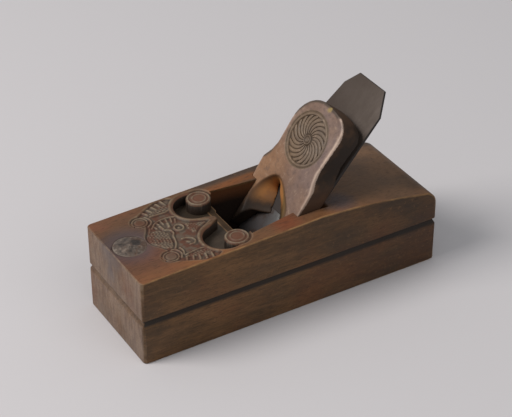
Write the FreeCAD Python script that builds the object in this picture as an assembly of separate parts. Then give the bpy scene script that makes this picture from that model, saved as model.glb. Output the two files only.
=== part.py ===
import FreeCAD, Part
import math
import os

# Carved wooden block plane: stock, forked wedge, single iron with its laid steel, and a strike button.
# Millimetres. Origin at the centre of the sole, +X towards the heel, +Z up.

# Stock
stock_length = 176.8
stock_width = 60.0
toe_height = 49.6
crest_height = 52.7
crest_from_heel = 71.0
heel_height = 44.6
heel_round = 9.5
corner_round = 2.2
# how far the rear slope stands above a straight line, as a share of the fall from crest to heel
rear_bulge_share = 0.16

# V groove round the four sides
groove_height = 22.4
groove_width = 4.4
groove_depth = 1.7
groove_apex_share = 0.72

# Bed, iron and wedge
bed_angle = 49.0
wedge_angle = 7.0
wear_angle = 82.0
mouth_from_toe = 62.9
mouth_gap = 2.7
slide_clear = 0.05
abutment_clear = 0.1
side_clear = 0.35

iron_width = 40.8
iron_top_width = 38.6
iron_length = 136.3
iron_thickness = 3.0
iron_clip_length = 12.4
iron_tip_width = 21.4
iron_lift = 0.15
bevel_angle = 28.0

steel_length = 52.0
steel_thickness = 1.1

# Throat and cheeks, as half widths from the middle plane
throat_front_half = 22.0
throat_neck_half = 18.0
slot_growth = 2.0
cut_overrun = 20.0

# Carved mouth
ledge_drop = 6.8
ledge_bevel_run = 4.5
ledge_bevel_drop = 1.2
scallop_radius = 11.1
scallop_spread = 15.5
scallop_setback = 11.6
volute_radius = 6.5
volute_spread = 19.9
volute_setback = 6.8
cusp_setback = 7.4
cusp_tip_width = 2.4
cusp_flank_length = 6.7

# Carving sunk into the toe, with its ridges left at the height of the top
carving_reach = 48.0
carving_depth = 0.9
cushion_depth = 0.45
ridge_width = 1.1
bow_width = 0.9
lobe_width = 1.9
bead_start_angle = 122.0
bead_end_angle = 242.0
bead_tip_setback = 4.1
bead_tip_half = 0.6
bead_steps = 5
lip_run = 1.5
lip_drop = 0.9
scroll_radius = 4.4
scroll_furrow = 0.7
scroll_ring_radius = 3.2
volute_ring_radius = 5.0
volute_eye_radius = 3.35
volute_furrow = 0.9
ring_furrow = 0.6
eye_radius = 2.9
eye_hole_radius = 1.8
rib_count = 5

# Places in the carving: shares of its reach from the ledge towards the toe, and of the half width across.
# Bow, arcs, leaves and scrolls stand on both sides of the middle; stem, fan, drop, lobes and eye only once.
scroll_share = (0.887, 0.563)
bow_shares = [(0.873, 0.387), (0.917, 0.263), (0.966, 0.14), (0.985, 0)]
leaf_edge_shares = [(0.906, 0.7), (0.783, 0.813), (0.598, 0.963), (0.46, 0.963)]
arc_shares = [(0.798, 0.667), (0.769, 0.58), (0.771, 0.493), (0.798, 0.43), (0.831, 0.403)]
leaf_border_shares = [(0.735, 0.64), (0.644, 0.62), (0.556, 0.617), (0.498, 0.653)]
rib_foot_shares = [(0.748, 0.693), (0.502, 0.82)]
rib_tip_shares = [(0.777, 0.787), (0.519, 0.947)]
stem_shares = [(0.779, -0.393), (0.735, -0.287), (0.71, -0.167), (0.698, -0.073), (0.667, 0.007),
               (0.673, 0.1), (0.719, 0.153)]
fan_shares = [(0.819, 0.313), (0.76, 0.407), (0.677, 0.453), (0.585, 0.45), (0.519, 0.407)]
drop_shares = [(0.644, -0.213), (0.585, -0.24), (0.544, -0.3), (0.535, -0.373), (0.569, -0.43), (0.61, -0.42)]
lobe_shares = [[(0.735, 0.293), (0.727, 0.187)], [(0.64, 0.3), (0.654, 0.207)]]
eye_share = (0.573, 0.097)
field_shares = [(0.952, -0.017), (0.927, 0.12), (0.865, 0.22), (0.781, 0.213), (0.719, 0.05), (0.735, -0.1),
                (0.756, -0.253), (0.798, -0.353), (0.86, -0.313), (0.919, -0.187)]
lens_shares = [(0.49, 0.153), (0.388, 0.077), (0.294, 0.02), (0.294, -0.02), (0.388, -0.077),
               (0.473, -0.173), (0.502, 0)]

# Wedge. Its rises are measured up from the crest of the stock, its reaches along the iron from there.
wedge_run = 14.5
head_reach = 54.5
head_crown_radius = 60.0
head_far_round = 18.0
head_near_round = 9.5
head_low_reach = 27.7
head_relief_reach = 10.7
head_relief_angle = 4.8
head_far_half = 18.1
head_near_half = 21.4
head_rise = 33.3
neck_far_half = 18.3
neck_near_half = 19.5
neck_rise = 18.3
shoulder_far_half = 23.4
shoulder_near_half = 22.6
shoulder_rise = 9.3
body_drop = 3.1
wedge_side_clear = 0.3
fork_offset = 1.5
fork_crown_shift = 2.7
fork_crown_share = 0.35
fork_reach = 9.0
fork_length = 33.0
fork_half = 16.6
fork_back_reach = 4.4
fork_back_length = 15.4
fork_back_half = 9.8
prong_inner_drop = 11.0
prong_knee_drop = 15.6
prong_knee_half = 12.3
prong_outer_drop = 27.8

# The arch of the fork on the face of the wedge, and the slanting gap that it leaves at the iron:
# shares of the length from the top down, and of the half width towards the far side
fork_front_shares = [(0, 0), (0.035, 0.24), (0.11, 0.45), (0.22, 0.69), (0.34, 0.88), (0.51, 1),
                     (0.79, 0.92), (1, 0.86)]
fork_back_near_shares = [(1, -0.5), (0.9, -0.36), (0.7, 0), (0.38, 0.56), (0.12, 0.97)]
fork_back_far_shares = [(0, 1.12), (0.06, 1.15), (0.2, 1.01), (0.5, 0.74), (0.87, 0.5), (1, 0.4)]

# Strike button
button_from_toe = 10.2
button_offset = 1.5
button_diameter = 17.4
button_dome = 1.9
button_seat_depth = 0.9
shank_diameter = 6.0
shank_length = 19.0
shank_fit = 0.05

# Places that follow from the sizes
half_length = stock_length / 2
half_width = stock_width / 2
crest_x = half_length - crest_from_heel
bed = math.radians(bed_angle)
front = math.radians(bed_angle + wedge_angle)
wear = math.radians(wear_angle)
face_x = -half_length + mouth_from_toe
mouth_front_x = face_x - mouth_gap
abutment_x = face_x + crest_height / math.tan(bed) - wedge_run
crest_along = (abutment_x - face_x) * math.cos(bed) + crest_height * math.sin(bed)
slot_half = iron_width / 2 + side_clear
above = crest_height + cut_overrun
below = -cut_overrun


def top_at(x):
    """Height of the straight front part of the top at x."""
    return toe_height + (crest_height - toe_height) * (x + half_length) / (crest_x + half_length)


def vec(x, y, z):
    return FreeCAD.Vector(x, y, z)


def polygon(points):
    """Closed wire through the points."""
    return Part.makePolygon(points + [points[0]])


def prism_y(section, half):
    """Solid from an (x, z) outline, from -half to half in y."""
    wire = polygon([vec(x, -half, z) for x, z in section])
    return Part.Face(wire).extrude(vec(0, 2 * half, 0))


def prism_x(section, start, length):
    """Solid from a (y, z) outline."""
    wire = polygon([vec(start, y, z) for y, z in section])
    return Part.Face(wire).extrude(vec(length, 0, 0))


def prism_z(outline, low, high):
    """Solid from an (x, y) outline."""
    wire = polygon([vec(x, y, low) for x, y in outline])
    return Part.Face(wire).extrude(vec(0, 0, high - low))


def on_face(along, y, lift):
    """Point measured along the iron's face from the sole, across, and square off the face."""
    x = face_x + along * math.cos(bed) - lift * math.sin(bed)
    z = along * math.sin(bed) + lift * math.cos(bed)
    return vec(x, y, z)


def off_face(wire_points, low, high):
    """Solid from straight edges drawn on the iron's face, between two distances off that face."""
    base = polygon([on_face(along, y, low) for along, y in wire_points])
    return Part.Face(base).extrude(on_face(0, 0, high) - on_face(0, 0, low))


def line(a, b):
    return Part.LineSegment(a, b).toShape()


def arc(a, middle, b):
    return Part.Arc(a, middle, b).toShape()


def cheek_taper(extra, height):
    """Room between the cheeks: a little wider at the top than at the sole."""
    foot = slot_half - extra
    head = foot + slot_growth * height / crest_height
    low = foot + slot_growth * below / crest_height
    section = [(-low, below), (low, below), (head, height), (-head, height)]
    return prism_x(section, -stock_length, 2 * stock_length)


def make_block():
    """The planed block with its rising top, dropped heel and eased edges."""
    heel_fall = crest_height - heel_height
    rear_x = half_length - heel_round
    middle_x = (crest_x + rear_x) / 2
    middle_z = (crest_height + heel_height) / 2 + heel_fall * rear_bulge_share
    turn = heel_round * (1 - math.cos(math.radians(45)))
    y = -half_width
    points = {
        "toe_low": vec(-half_length, y, 0),
        "toe_top": vec(-half_length, y, toe_height),
        "crest": vec(crest_x, y, crest_height),
        "rear": vec(rear_x, y, heel_height),
        "heel": vec(half_length, y, heel_height - heel_round),
        "heel_low": vec(half_length, y, 0),
    }
    edges = [
        line(points["toe_low"], points["toe_top"]),
        line(points["toe_top"], points["crest"]),
        arc(points["crest"], vec(middle_x, y, middle_z), points["rear"]),
        arc(points["rear"], vec(half_length - turn, y, heel_height - turn), points["heel"]),
        line(points["heel"], points["heel_low"]),
        line(points["heel_low"], points["toe_low"]),
    ]
    block = Part.Face(Part.Wire(edges)).extrude(vec(0, stock_width, 0))
    return block.common(make_rounded_plan()).removeSplitter()


def make_rounded_plan():
    """Upright block with rounded corners, seen from above the outline of the stock."""
    x = half_length
    y = half_width
    x_in = x - corner_round
    y_in = y - corner_round
    turn = corner_round * (1 - math.cos(math.radians(45)))
    edges = [
        line(vec(-x_in, -y, 0), vec(x_in, -y, 0)),
        arc(vec(x_in, -y, 0), vec(x - turn, -y + turn, 0), vec(x, -y_in, 0)),
        line(vec(x, -y_in, 0), vec(x, y_in, 0)),
        arc(vec(x, y_in, 0), vec(x - turn, y - turn, 0), vec(x_in, y, 0)),
        line(vec(x_in, y, 0), vec(-x_in, y, 0)),
        arc(vec(-x_in, y, 0), vec(-x + turn, y - turn, 0), vec(-x, y_in, 0)),
        line(vec(-x, y_in, 0), vec(-x, -y_in, 0)),
        arc(vec(-x, -y_in, 0), vec(-x + turn, -y + turn, 0), vec(-x_in, -y, 0)),
    ]
    return Part.Face(Part.Wire(edges)).extrude(vec(0, 0, above))


def make_groove():
    """V groove cut into all four sides, mitred at the corners."""
    low = groove_height
    high = groove_height + groove_width
    apex = groove_height + groove_width * groove_apex_share
    slope = groove_width / groove_depth
    outside = groove_depth
    cuts = []
    for side in (-1, 1):
        y_out = side * (half_width + outside)
        y_in = side * (half_width - groove_depth)
        x_out = side * (half_length + outside)
        x_in = side * (half_length - groove_depth)
        low_out = low - (apex - low) / groove_depth * outside
        high_out = high + (high - apex) / groove_depth * outside
        along = [(y_out, low_out), (y_in, apex), (y_out, high_out)]
        across = [(x_out, low_out), (x_in, apex), (x_out, high_out)]
        cuts.append(prism_x(along, -stock_length, 2 * stock_length))
        cuts.append(prism_y(across, stock_width))
    return cuts


def side_of_plane(angle, foot, side):
    """Everything on one side (-1 toe, 1 heel) of a slanting plane that crosses the sole at foot."""
    low = foot + below / math.tan(angle)
    high = foot + above / math.tan(angle)
    far = side * stock_length
    return prism_y([(low, below), (high, above), (high + far, above), (low + far, below)], stock_width)


def ledge_place():
    """Front edge of the throat at the ledge, and the height of the ledge."""
    ledge_z = top_at(mouth_front_x) - ledge_drop
    return mouth_front_x + ledge_z / math.tan(wear), ledge_z


def make_throat():
    """Throat, bed and wedge slots, from the mouth in the sole up through the top."""
    front_x, ledge_z = ledge_place()
    bed_x = face_x + (iron_thickness + slide_clear) / math.sin(bed)
    abutment_foot = abutment_x - crest_height / math.tan(front)
    behind_wear = side_of_plane(wear, mouth_front_x, 1)
    slot = side_of_plane(bed, bed_x, -1).common(side_of_plane(front, abutment_foot, 1)).common(behind_wear)
    opening = side_of_plane(front, abutment_foot, -1).common(behind_wear)

    # the open part in front of the wedge narrows from the volutes to the abutments
    narrowing = (throat_front_half - throat_neck_half) / (abutment_x - front_x)
    toe_side = front_x - wedge_run
    wide = throat_front_half + narrowing * wedge_run
    far_x = abutment_x + 2 * cut_overrun
    plan = [
        (toe_side, -wide),
        (abutment_x, -throat_neck_half),
        (far_x, -throat_neck_half),
        (far_x, throat_neck_half),
        (abutment_x, throat_neck_half),
        (toe_side, wide),
    ]
    opening = opening.common(prism_z(plan, below, above))
    hollow = opening.fuse(slot).common(cheek_taper(0, above))
    return hollow.fuse(make_carved_mouth(front_x, ledge_z)).removeSplitter()


def make_carved_mouth(front_x, ledge_z):
    """The two scallops in front of the throat, with the cusp between them and the volutes left standing."""
    scallop_x = front_x - scallop_setback
    volute_x = front_x - volute_setback
    tip_x = front_x - cusp_setback
    tip_half = cusp_tip_width / 2
    flank_x = tip_x - cusp_flank_length
    flank_y = scallop_spread - math.sqrt(scallop_radius ** 2 - (flank_x - scallop_x) ** 2)
    room = above - ledge_z
    neck = (tip_x + front_x) / 2

    plan = [
        (flank_x, -flank_y),
        (tip_x, -tip_half),
        (tip_x, tip_half),
        (flank_x, flank_y),
        (flank_x, scallop_spread),
        (front_x, scallop_spread),
        (front_x, -scallop_spread),
        (flank_x, -scallop_spread),
    ]
    pocket = prism_z(plan, ledge_z, above)
    outer = volute_spread
    lip = front_x + ledge_bevel_run
    strip = [(neck, -outer), (lip, -outer), (lip, outer), (neck, outer)]
    pocket = pocket.fuse(prism_z(strip, ledge_z, above))
    for side in (-1, 1):
        scallop = vec(scallop_x, side * scallop_spread, ledge_z)
        pocket = pocket.fuse(Part.makeCylinder(scallop_radius, room, scallop)).fuse(make_lip(scallop))
    cusp = prism_z(
        [(flank_x - scallop_radius, -flank_y), (flank_x, -flank_y), (tip_x, -tip_half),
         (tip_x, tip_half), (flank_x, flank_y), (flank_x - scallop_radius, flank_y)],
        ledge_z,
        above,
    )
    near = Part.makeCylinder(scallop_radius, room, vec(scallop_x, -scallop_spread, ledge_z))
    far = Part.makeCylinder(scallop_radius, room, vec(scallop_x, scallop_spread, ledge_z))
    pocket = pocket.cut(cusp.cut(near).cut(far))
    for side in (-1, 1):
        volute = vec(volute_x, side * volute_spread, ledge_z)
        pocket = pocket.cut(Part.makeCylinder(volute_radius, room, volute))

    # bevel along the ledge where it drops into the throat
    bevel = [
        (front_x - ledge_bevel_run, ledge_z),
        (front_x + ledge_bevel_run, ledge_z),
        (front_x + ledge_bevel_run, ledge_z - 2 * ledge_bevel_drop),
    ]
    return pocket.fuse(prism_y(bevel, volute_spread - volute_radius))


def above_top(depth):
    """Everything over a plane that lies this deep under the straight front part of the top."""
    low = -half_length
    section = [(low, top_at(low) - depth), (crest_x, top_at(crest_x) - depth), (crest_x, above), (low, above)]
    return prism_y(section, half_width)


def carving_point(share, side=1):
    """Point over the top from a pair of shares."""
    front_x, ledge_z = ledge_place()
    return vec(front_x - carving_reach * share[0], side * half_width * share[1], ledge_z)


def upright(edges):
    """Solid from a closed outline drawn at the height of the ledge."""
    return Part.Face(Part.Wire(edges)).extrude(vec(0, 0, above))


def curve_through(points):
    if len(points) == 2:
        return line(points[0], points[1])
    curve = Part.BSplineCurve()
    curve.interpolate(points)
    return curve.toShape()


def band(points, width):
    """Upright wall of even width along a line of points."""
    left = []
    right = []
    for i, point in enumerate(points):
        run = points[min(i + 1, len(points) - 1)] - points[max(i - 1, 0)]
        square = vec(-run.y, run.x, 0).normalize() * (width / 2)
        left.append(point + square)
        right.append(point - square)
    ends = [line(left[-1], right[-1]), line(right[0], left[0])]
    return upright([curve_through(left), ends[0], curve_through(right[::-1]), ends[1]])


def closed_curve(points):
    curve = Part.BSplineCurve()
    curve.interpolate(points, PeriodicFlag=True)
    return [curve.toShape()]


def ring(centre, radius, width):
    """Upright tube, as wide as its furrow."""
    outer = Part.makeCylinder(radius + width / 2, above, centre)
    return outer.cut(Part.makeCylinder(radius - width / 2, above, centre))


def bead_line(side):
    """Middle line of the bead that follows a scallop and runs out on the cusp."""
    front_x, ledge_z = ledge_place()
    centre = vec(front_x - scallop_setback, side * scallop_spread, ledge_z)
    reach = scallop_radius + lip_run + ridge_width / 2
    sweep = bead_end_angle - bead_start_angle
    points = []
    for i in range(bead_steps + 1):
        angle = math.radians(bead_start_angle + sweep * i / bead_steps)
        points.append(centre + vec(reach * math.cos(angle), side * reach * math.sin(angle), 0))
    points.append(vec(front_x - cusp_setback - bead_tip_setback, side * bead_tip_half, ledge_z))
    return points


def bow_line():
    """Middle line of the bow between the two scrolls, next to the button."""
    far = [carving_point(share) for share in bow_shares]
    return far + [carving_point(share, -1) for share in bow_shares[-2::-1]]


def make_sunk_ground():
    """The ground of the carving, inside bow, scrolls, leaf edges and beads."""
    bow = bow_line()
    far = bead_line(1)
    near = bead_line(-1)
    leaf = [scroll_share] + leaf_edge_shares
    corners = [carving_point(share) for share in leaf] + [far[0]]
    back = [near[0]] + [carving_point(share, -1) for share in leaf[::-1]]
    edges = [curve_through(bow[::-1]), line(bow[0], corners[0])]
    edges += [line(a, b) for a, b in zip(corners, corners[1:])]
    edges += [curve_through(far), line(far[-1], near[-1]), curve_through(near[::-1])]
    edges += [line(a, b) for a, b in zip(back, back[1:])]
    edges.append(line(back[-1], bow[-1]))
    ground = upright(edges)
    reach = scroll_radius + scroll_furrow
    for side in (-1, 1):
        ground = ground.fuse(Part.makeCylinder(reach, above, carving_point(scroll_share, side)))
    return ground


def make_ridges():
    """All that is left standing in the carving."""
    ridges = [band(bow_line(), bow_width)]
    for side in (-1, 1):
        ridges.append(Part.makeCylinder(scroll_radius, above, carving_point(scroll_share, side)))
        ridges.append(band(bead_line(side), ridge_width))
        for shares in (arc_shares, leaf_border_shares):
            ridges.append(band([carving_point(share, side) for share in shares], ridge_width))
        for i in range(rib_count):
            along = i / (rib_count - 1)
            ends = []
            for first, last in (rib_foot_shares, rib_tip_shares):
                share = (first[0] + (last[0] - first[0]) * along, first[1] + (last[1] - first[1]) * along)
                ends.append(carving_point(share, side))
            ridges.append(band(ends, ridge_width))
    for shares in (stem_shares, fan_shares, drop_shares):
        ridges.append(band([carving_point(share) for share in shares], ridge_width))
    for shares in lobe_shares:
        ridges.append(band([carving_point(share) for share in shares], lobe_width))
    width = eye_radius - eye_hole_radius
    ridges.append(ring(carving_point(eye_share), eye_hole_radius + width / 2, width))
    return ridges


def make_carving():
    """Cuts for the sunk ground with its two low cushions, and for the rings on scrolls and volutes."""
    front_x, ledge_z = ledge_place()
    ridges = make_ridges()
    ground = make_sunk_ground().common(above_top(carving_depth))
    low_cut = ground
    for shares in (field_shares, lens_shares):
        cushion = upright(closed_curve([carving_point(share) for share in shares]))
        low_cut = low_cut.cut(cushion.cut(above_top(cushion_depth)))
    for ridge in ridges:
        low_cut = low_cut.cut(ridge)
    cuts = [low_cut]
    surface = above_top(carving_depth)
    for side in (-1, 1):
        cuts.append(surface.common(ring(carving_point(scroll_share, side), scroll_ring_radius, ring_furrow)))
        volute = vec(front_x - volute_setback, side * volute_spread, ledge_z)
        cuts.append(surface.common(ring(volute, volute_ring_radius, ring_furrow)))
        cuts.append(surface.common(ring(volute, volute_eye_radius, ring_furrow)))
        cuts.append(surface.common(ring(volute, volute_radius + volute_furrow / 2, volute_furrow)))
    return cuts


def make_lip(centre):
    """Hollow edge round a scallop, parallel to the rising top."""
    slope = math.atan2(top_at(crest_x) - top_at(-half_length), crest_x + half_length)
    rim = vec(centre.x, centre.y, top_at(centre.x) - lip_drop)
    grown = scallop_radius + 2 * lip_run
    lip = Part.makeCone(scallop_radius, grown, 2 * lip_drop, rim)
    lip.rotate(rim, vec(0, 1, 0), -math.degrees(slope))
    return lip


def make_stock():
    stock = make_block()
    stock = stock.cut(make_throat())
    for cut in make_carving() + make_groove() + make_button_seat():
        stock = stock.cut(cut)
    return stock.removeSplitter()


def button_place():
    """Centre of the button on the top, and the height of its seat."""
    x = -half_length + button_from_toe
    return x, top_at(x - button_diameter / 2) - button_seat_depth


def make_button_seat():
    x, seat_z = button_place()
    rim = button_diameter / 2 + shank_fit
    bore = shank_diameter / 2 + shank_fit
    seat = Part.makeCylinder(rim, cut_overrun, vec(x, button_offset, seat_z))
    bottom = vec(x, button_offset, seat_z - shank_length - shank_fit)
    hole = Part.makeCylinder(bore, shank_length + cut_overrun, bottom)
    return [seat, hole]


def make_button():
    """Domed head on a plain shank."""
    x, seat_z = button_place()
    radius = button_diameter / 2
    rim_z = seat_z + button_seat_depth
    cap_radius = (radius ** 2 + button_dome ** 2) / (2 * button_dome)
    disc = Part.makeCylinder(radius, button_seat_depth + button_dome, vec(x, button_offset, seat_z))
    ball = Part.makeSphere(cap_radius, vec(x, button_offset, rim_z + button_dome - cap_radius))
    shank = Part.makeCylinder(shank_diameter / 2, shank_length, vec(x, button_offset, seat_z - shank_length))
    return disc.common(ball).fuse(shank).removeSplitter()


def iron_outline():
    """Half outline of the iron, from the cutting edge up."""
    edge = iron_lift / math.sin(bed)
    return [
        (edge, iron_width / 2),
        (iron_length - iron_clip_length, iron_top_width / 2),
        (iron_length, iron_tip_width / 2),
    ]


def mirrored(half):
    return half + [(along, -y) for along, y in reversed(half)]


def ground_bevel():
    """What is ground away behind the cutting edge."""
    edge = iron_lift / math.sin(bed)
    lean = math.radians(bevel_angle)
    depth = 2 * iron_thickness
    run = depth / math.tan(lean)
    start = on_face(edge, -iron_width, 0)
    low = on_face(edge - run, -iron_width, 0)
    back = on_face(edge - run, -iron_width, -depth)
    high = on_face(edge + run, -iron_width, -depth)
    return Part.Face(polygon([start, low, back, high])).extrude(vec(0, 2 * iron_width, 0))


def make_steel_room():
    half = [(-iron_thickness, iron_width), (steel_length, iron_width)]
    return off_face(mirrored(half), -steel_thickness, iron_thickness)


def make_iron_blank():
    blank = off_face(mirrored(iron_outline()), -iron_thickness, 0)
    return blank.cut(ground_bevel())


def make_iron():
    return make_iron_blank().cut(make_steel_room())


def make_cutting_steel():
    return make_iron_blank().common(make_steel_room())


def make_head():
    """Crown of the wedge, drawn on the iron's face and carried far off it, with a fuller near corner."""
    top = crest_along + head_reach
    low = crest_along + head_low_reach
    crown = top - head_crown_radius
    corners = []
    for side, half, turn in ((1, head_far_half, head_far_round), (-1, head_near_half, head_near_round)):
        gap = head_crown_radius - turn
        across = half - turn
        along = crown + math.sqrt(gap ** 2 - across ** 2)
        lean = math.atan2(across, along - crown)
        bend = (lean + math.radians(90)) / 2
        touch = (crown + head_crown_radius * math.cos(lean), side * head_crown_radius * math.sin(lean))
        middle = (along + turn * math.cos(bend), side * (across + turn * math.sin(bend)))
        corners.append({"start": on_face(along, side * half, 0), "side": side * half,
                        "touch": on_face(*touch, 0), "middle": on_face(*middle, 0)})
    far, near = corners
    low_far = on_face(low, far["side"], 0)
    low_near = on_face(low, near["side"], 0)
    edges = [
        line(low_near, low_far),
        line(low_far, far["start"]),
        arc(far["start"], far["middle"], far["touch"]),
        arc(far["touch"], on_face(top, 0, 0), near["touch"]),
        arc(near["touch"], near["middle"], near["start"]),
        line(near["start"], low_near),
    ]
    reach = on_face(0, 0, stock_width) - on_face(0, 0, 0)
    head = Part.Face(Part.Wire(edges)).extrude(reach)
    rest = [(below, -stock_width), (low, -stock_width), (low, stock_width), (below, stock_width)]
    return head.fuse(off_face(rest, 0, stock_width))


def make_waist():
    """Width of the wedge seen from the toe: head, neck, flared shoulders and the taper in the cheeks."""
    body_z = crest_height - body_drop
    shoulder_z = crest_height + shoulder_rise
    neck_z = crest_height + neck_rise
    foot = slot_half - wedge_side_clear
    mouth = foot + slot_growth * body_z / crest_height
    sole = foot + slot_growth * below / crest_height

    def side(shoulder, neck, head):
        return [
            (sole, below),
            (mouth, body_z),
            (shoulder, (shoulder_z + crest_height) / 2),
            (shoulder, shoulder_z),
            (neck + (shoulder - neck) / 3, (neck_z + shoulder_z) / 2),
            (neck, neck_z),
            (head, crest_height + head_rise),
            (head, above + head_reach),
        ]

    far = side(shoulder_far_half, neck_far_half, head_far_half)
    near = side(shoulder_near_half, neck_near_half, head_near_half)
    section = far + [(-y, z) for y, z in reversed(near)]
    return prism_x(section, -stock_length, 2 * stock_length)


def make_fork():
    """The gap between the prongs: a horseshoe arch on the face that runs in like a funnel to the iron."""
    angle = math.radians(wedge_angle)
    # the face of the wedge rises off the iron, starting from where the two planes meet
    foot = face_x - abutment_x + crest_height / math.tan(front)
    meeting = foot * math.sin(front) / math.sin(angle)
    end = -cut_overrun

    def face_point(along, y):
        return on_face(along, fork_offset + y, (along + meeting) * math.tan(angle))

    def back_point(along, y):
        return on_face(along, fork_offset + y, 0)

    def outline(place, top, length, half, shares):
        points = [place(top - length * a, half * b) for a, b in shares]
        curve = Part.BSplineCurve()
        curve.interpolate(points)
        low_near = place(end, half * shares[0][1])
        low_far = place(end, half * shares[-1][1])
        edges = [curve.toShape(), line(points[-1], low_far)]
        edges += [line(low_far, low_near), line(low_near, points[0])]
        return Part.Wire(edges)

    # the crown of the arch leans to the far side
    near = []
    far = []
    for a, b in fork_front_shares:
        lean = fork_crown_shift / fork_half * max(0, 1 - a / fork_crown_share)
        near.insert(0, (a, lean - b))
        far.append((a, lean + b))
    outer = outline(face_point, crest_along + fork_reach, fork_length, fork_half, near[:-1] + far)
    back = fork_back_near_shares + fork_back_far_shares
    inner = outline(back_point, crest_along + fork_back_reach, fork_back_length, fork_back_half, back)
    funnel = Part.makeLoft([outer, inner], True, True)
    outward = on_face(0, 0, stock_width) - on_face(0, 0, 0)
    return [funnel, Part.Face(outer).extrude(outward)]


def make_wedge():
    abutment_foot = abutment_x - crest_height / math.tan(front)
    front_foot = abutment_foot + abutment_clear / math.sin(front)
    back_foot = face_x - slide_clear / math.sin(bed)
    tall = 2 * above
    section = [
        (front_foot, 0),
        (back_foot, 0),
        (back_foot + tall / math.tan(bed), tall),
        (front_foot + tall / math.tan(front), tall),
    ]
    wedge = prism_y(section, stock_width)
    wedge = wedge.common(make_waist())
    wedge = wedge.common(make_head())
    for cut in make_fork():
        wedge = wedge.cut(cut)

    # prong ends, long on the outside and short on the inside
    for side, foot_share in ((-1, fork_back_near_shares[0][1]), (1, fork_back_far_shares[-1][1])):
        ends = [
            (crest_along - prong_inner_drop, fork_offset),
            (crest_along - prong_inner_drop, fork_offset + fork_back_half * foot_share),
            (crest_along - prong_knee_drop, fork_offset + side * prong_knee_half),
            (crest_along - prong_outer_drop, side * slot_half),
            (crest_along - prong_outer_drop, side * stock_width),
            (-stock_length, side * stock_width),
            (-stock_length, fork_offset),
        ]
        wedge = wedge.cut(off_face(ends, -stock_width, stock_width))

    # the back of the head leans away from the iron
    lean = math.radians(head_relief_angle)
    run = 2 * head_reach
    start = crest_along + head_relief_reach
    tilt = [
        on_face(start, -stock_width, 0),
        on_face(start + run, -stock_width, 0),
        on_face(start + run, -stock_width, run * math.tan(lean)),
    ]
    relief = Part.Face(polygon(tilt)).extrude(vec(0, 2 * stock_width, 0))
    return wedge.cut(relief).removeSplitter()


os.makedirs("parts", exist_ok=True)
parts = {
    "stock": make_stock(),
    "wedge": make_wedge(),
    "iron": make_iron(),
    "cutting_steel": make_cutting_steel(),
    "strike_button": make_button(),
}
for name, shape in parts.items():
    box = shape.BoundBox
    corners = [round(v, 2) for v in (box.XMin, box.YMin, box.ZMin, box.XMax, box.YMax, box.ZMax)]
    print(name, "solids", len(shape.Solids), "valid", shape.isValid(), corners)
    shape.exportStep("parts/" + name + ".step")
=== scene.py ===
import bpy
import bmesh
import math
import numpy as np
from functools import partial
from mathutils import Matrix, Vector, noise


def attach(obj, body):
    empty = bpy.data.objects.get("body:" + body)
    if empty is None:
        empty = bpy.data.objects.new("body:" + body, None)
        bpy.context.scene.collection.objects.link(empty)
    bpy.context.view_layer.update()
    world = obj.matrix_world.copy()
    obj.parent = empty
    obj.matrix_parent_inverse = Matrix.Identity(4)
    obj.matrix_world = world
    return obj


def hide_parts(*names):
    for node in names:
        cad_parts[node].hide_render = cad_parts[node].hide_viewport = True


# Carved wooden block plane. Sizes are in millimetres until finishPiece turns each mesh to metres.

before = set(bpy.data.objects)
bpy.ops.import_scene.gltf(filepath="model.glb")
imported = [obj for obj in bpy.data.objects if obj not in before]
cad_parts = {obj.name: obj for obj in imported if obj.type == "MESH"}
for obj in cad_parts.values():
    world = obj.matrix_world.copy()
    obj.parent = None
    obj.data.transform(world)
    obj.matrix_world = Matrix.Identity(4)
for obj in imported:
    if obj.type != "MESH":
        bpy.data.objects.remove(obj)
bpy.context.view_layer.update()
mm = 0.001


# Nodes and colours

def hexColor(code):
    # sRGB hex to a linear colour with alpha
    out = []
    for i in (1, 3, 5):
        c = int(code[i:i + 2], 16) / 255
        out.append(c / 12.92 if c <= 0.04045 else ((c + 0.055) / 1.055) ** 2.4)
    return (*out, 1.0)


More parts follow.
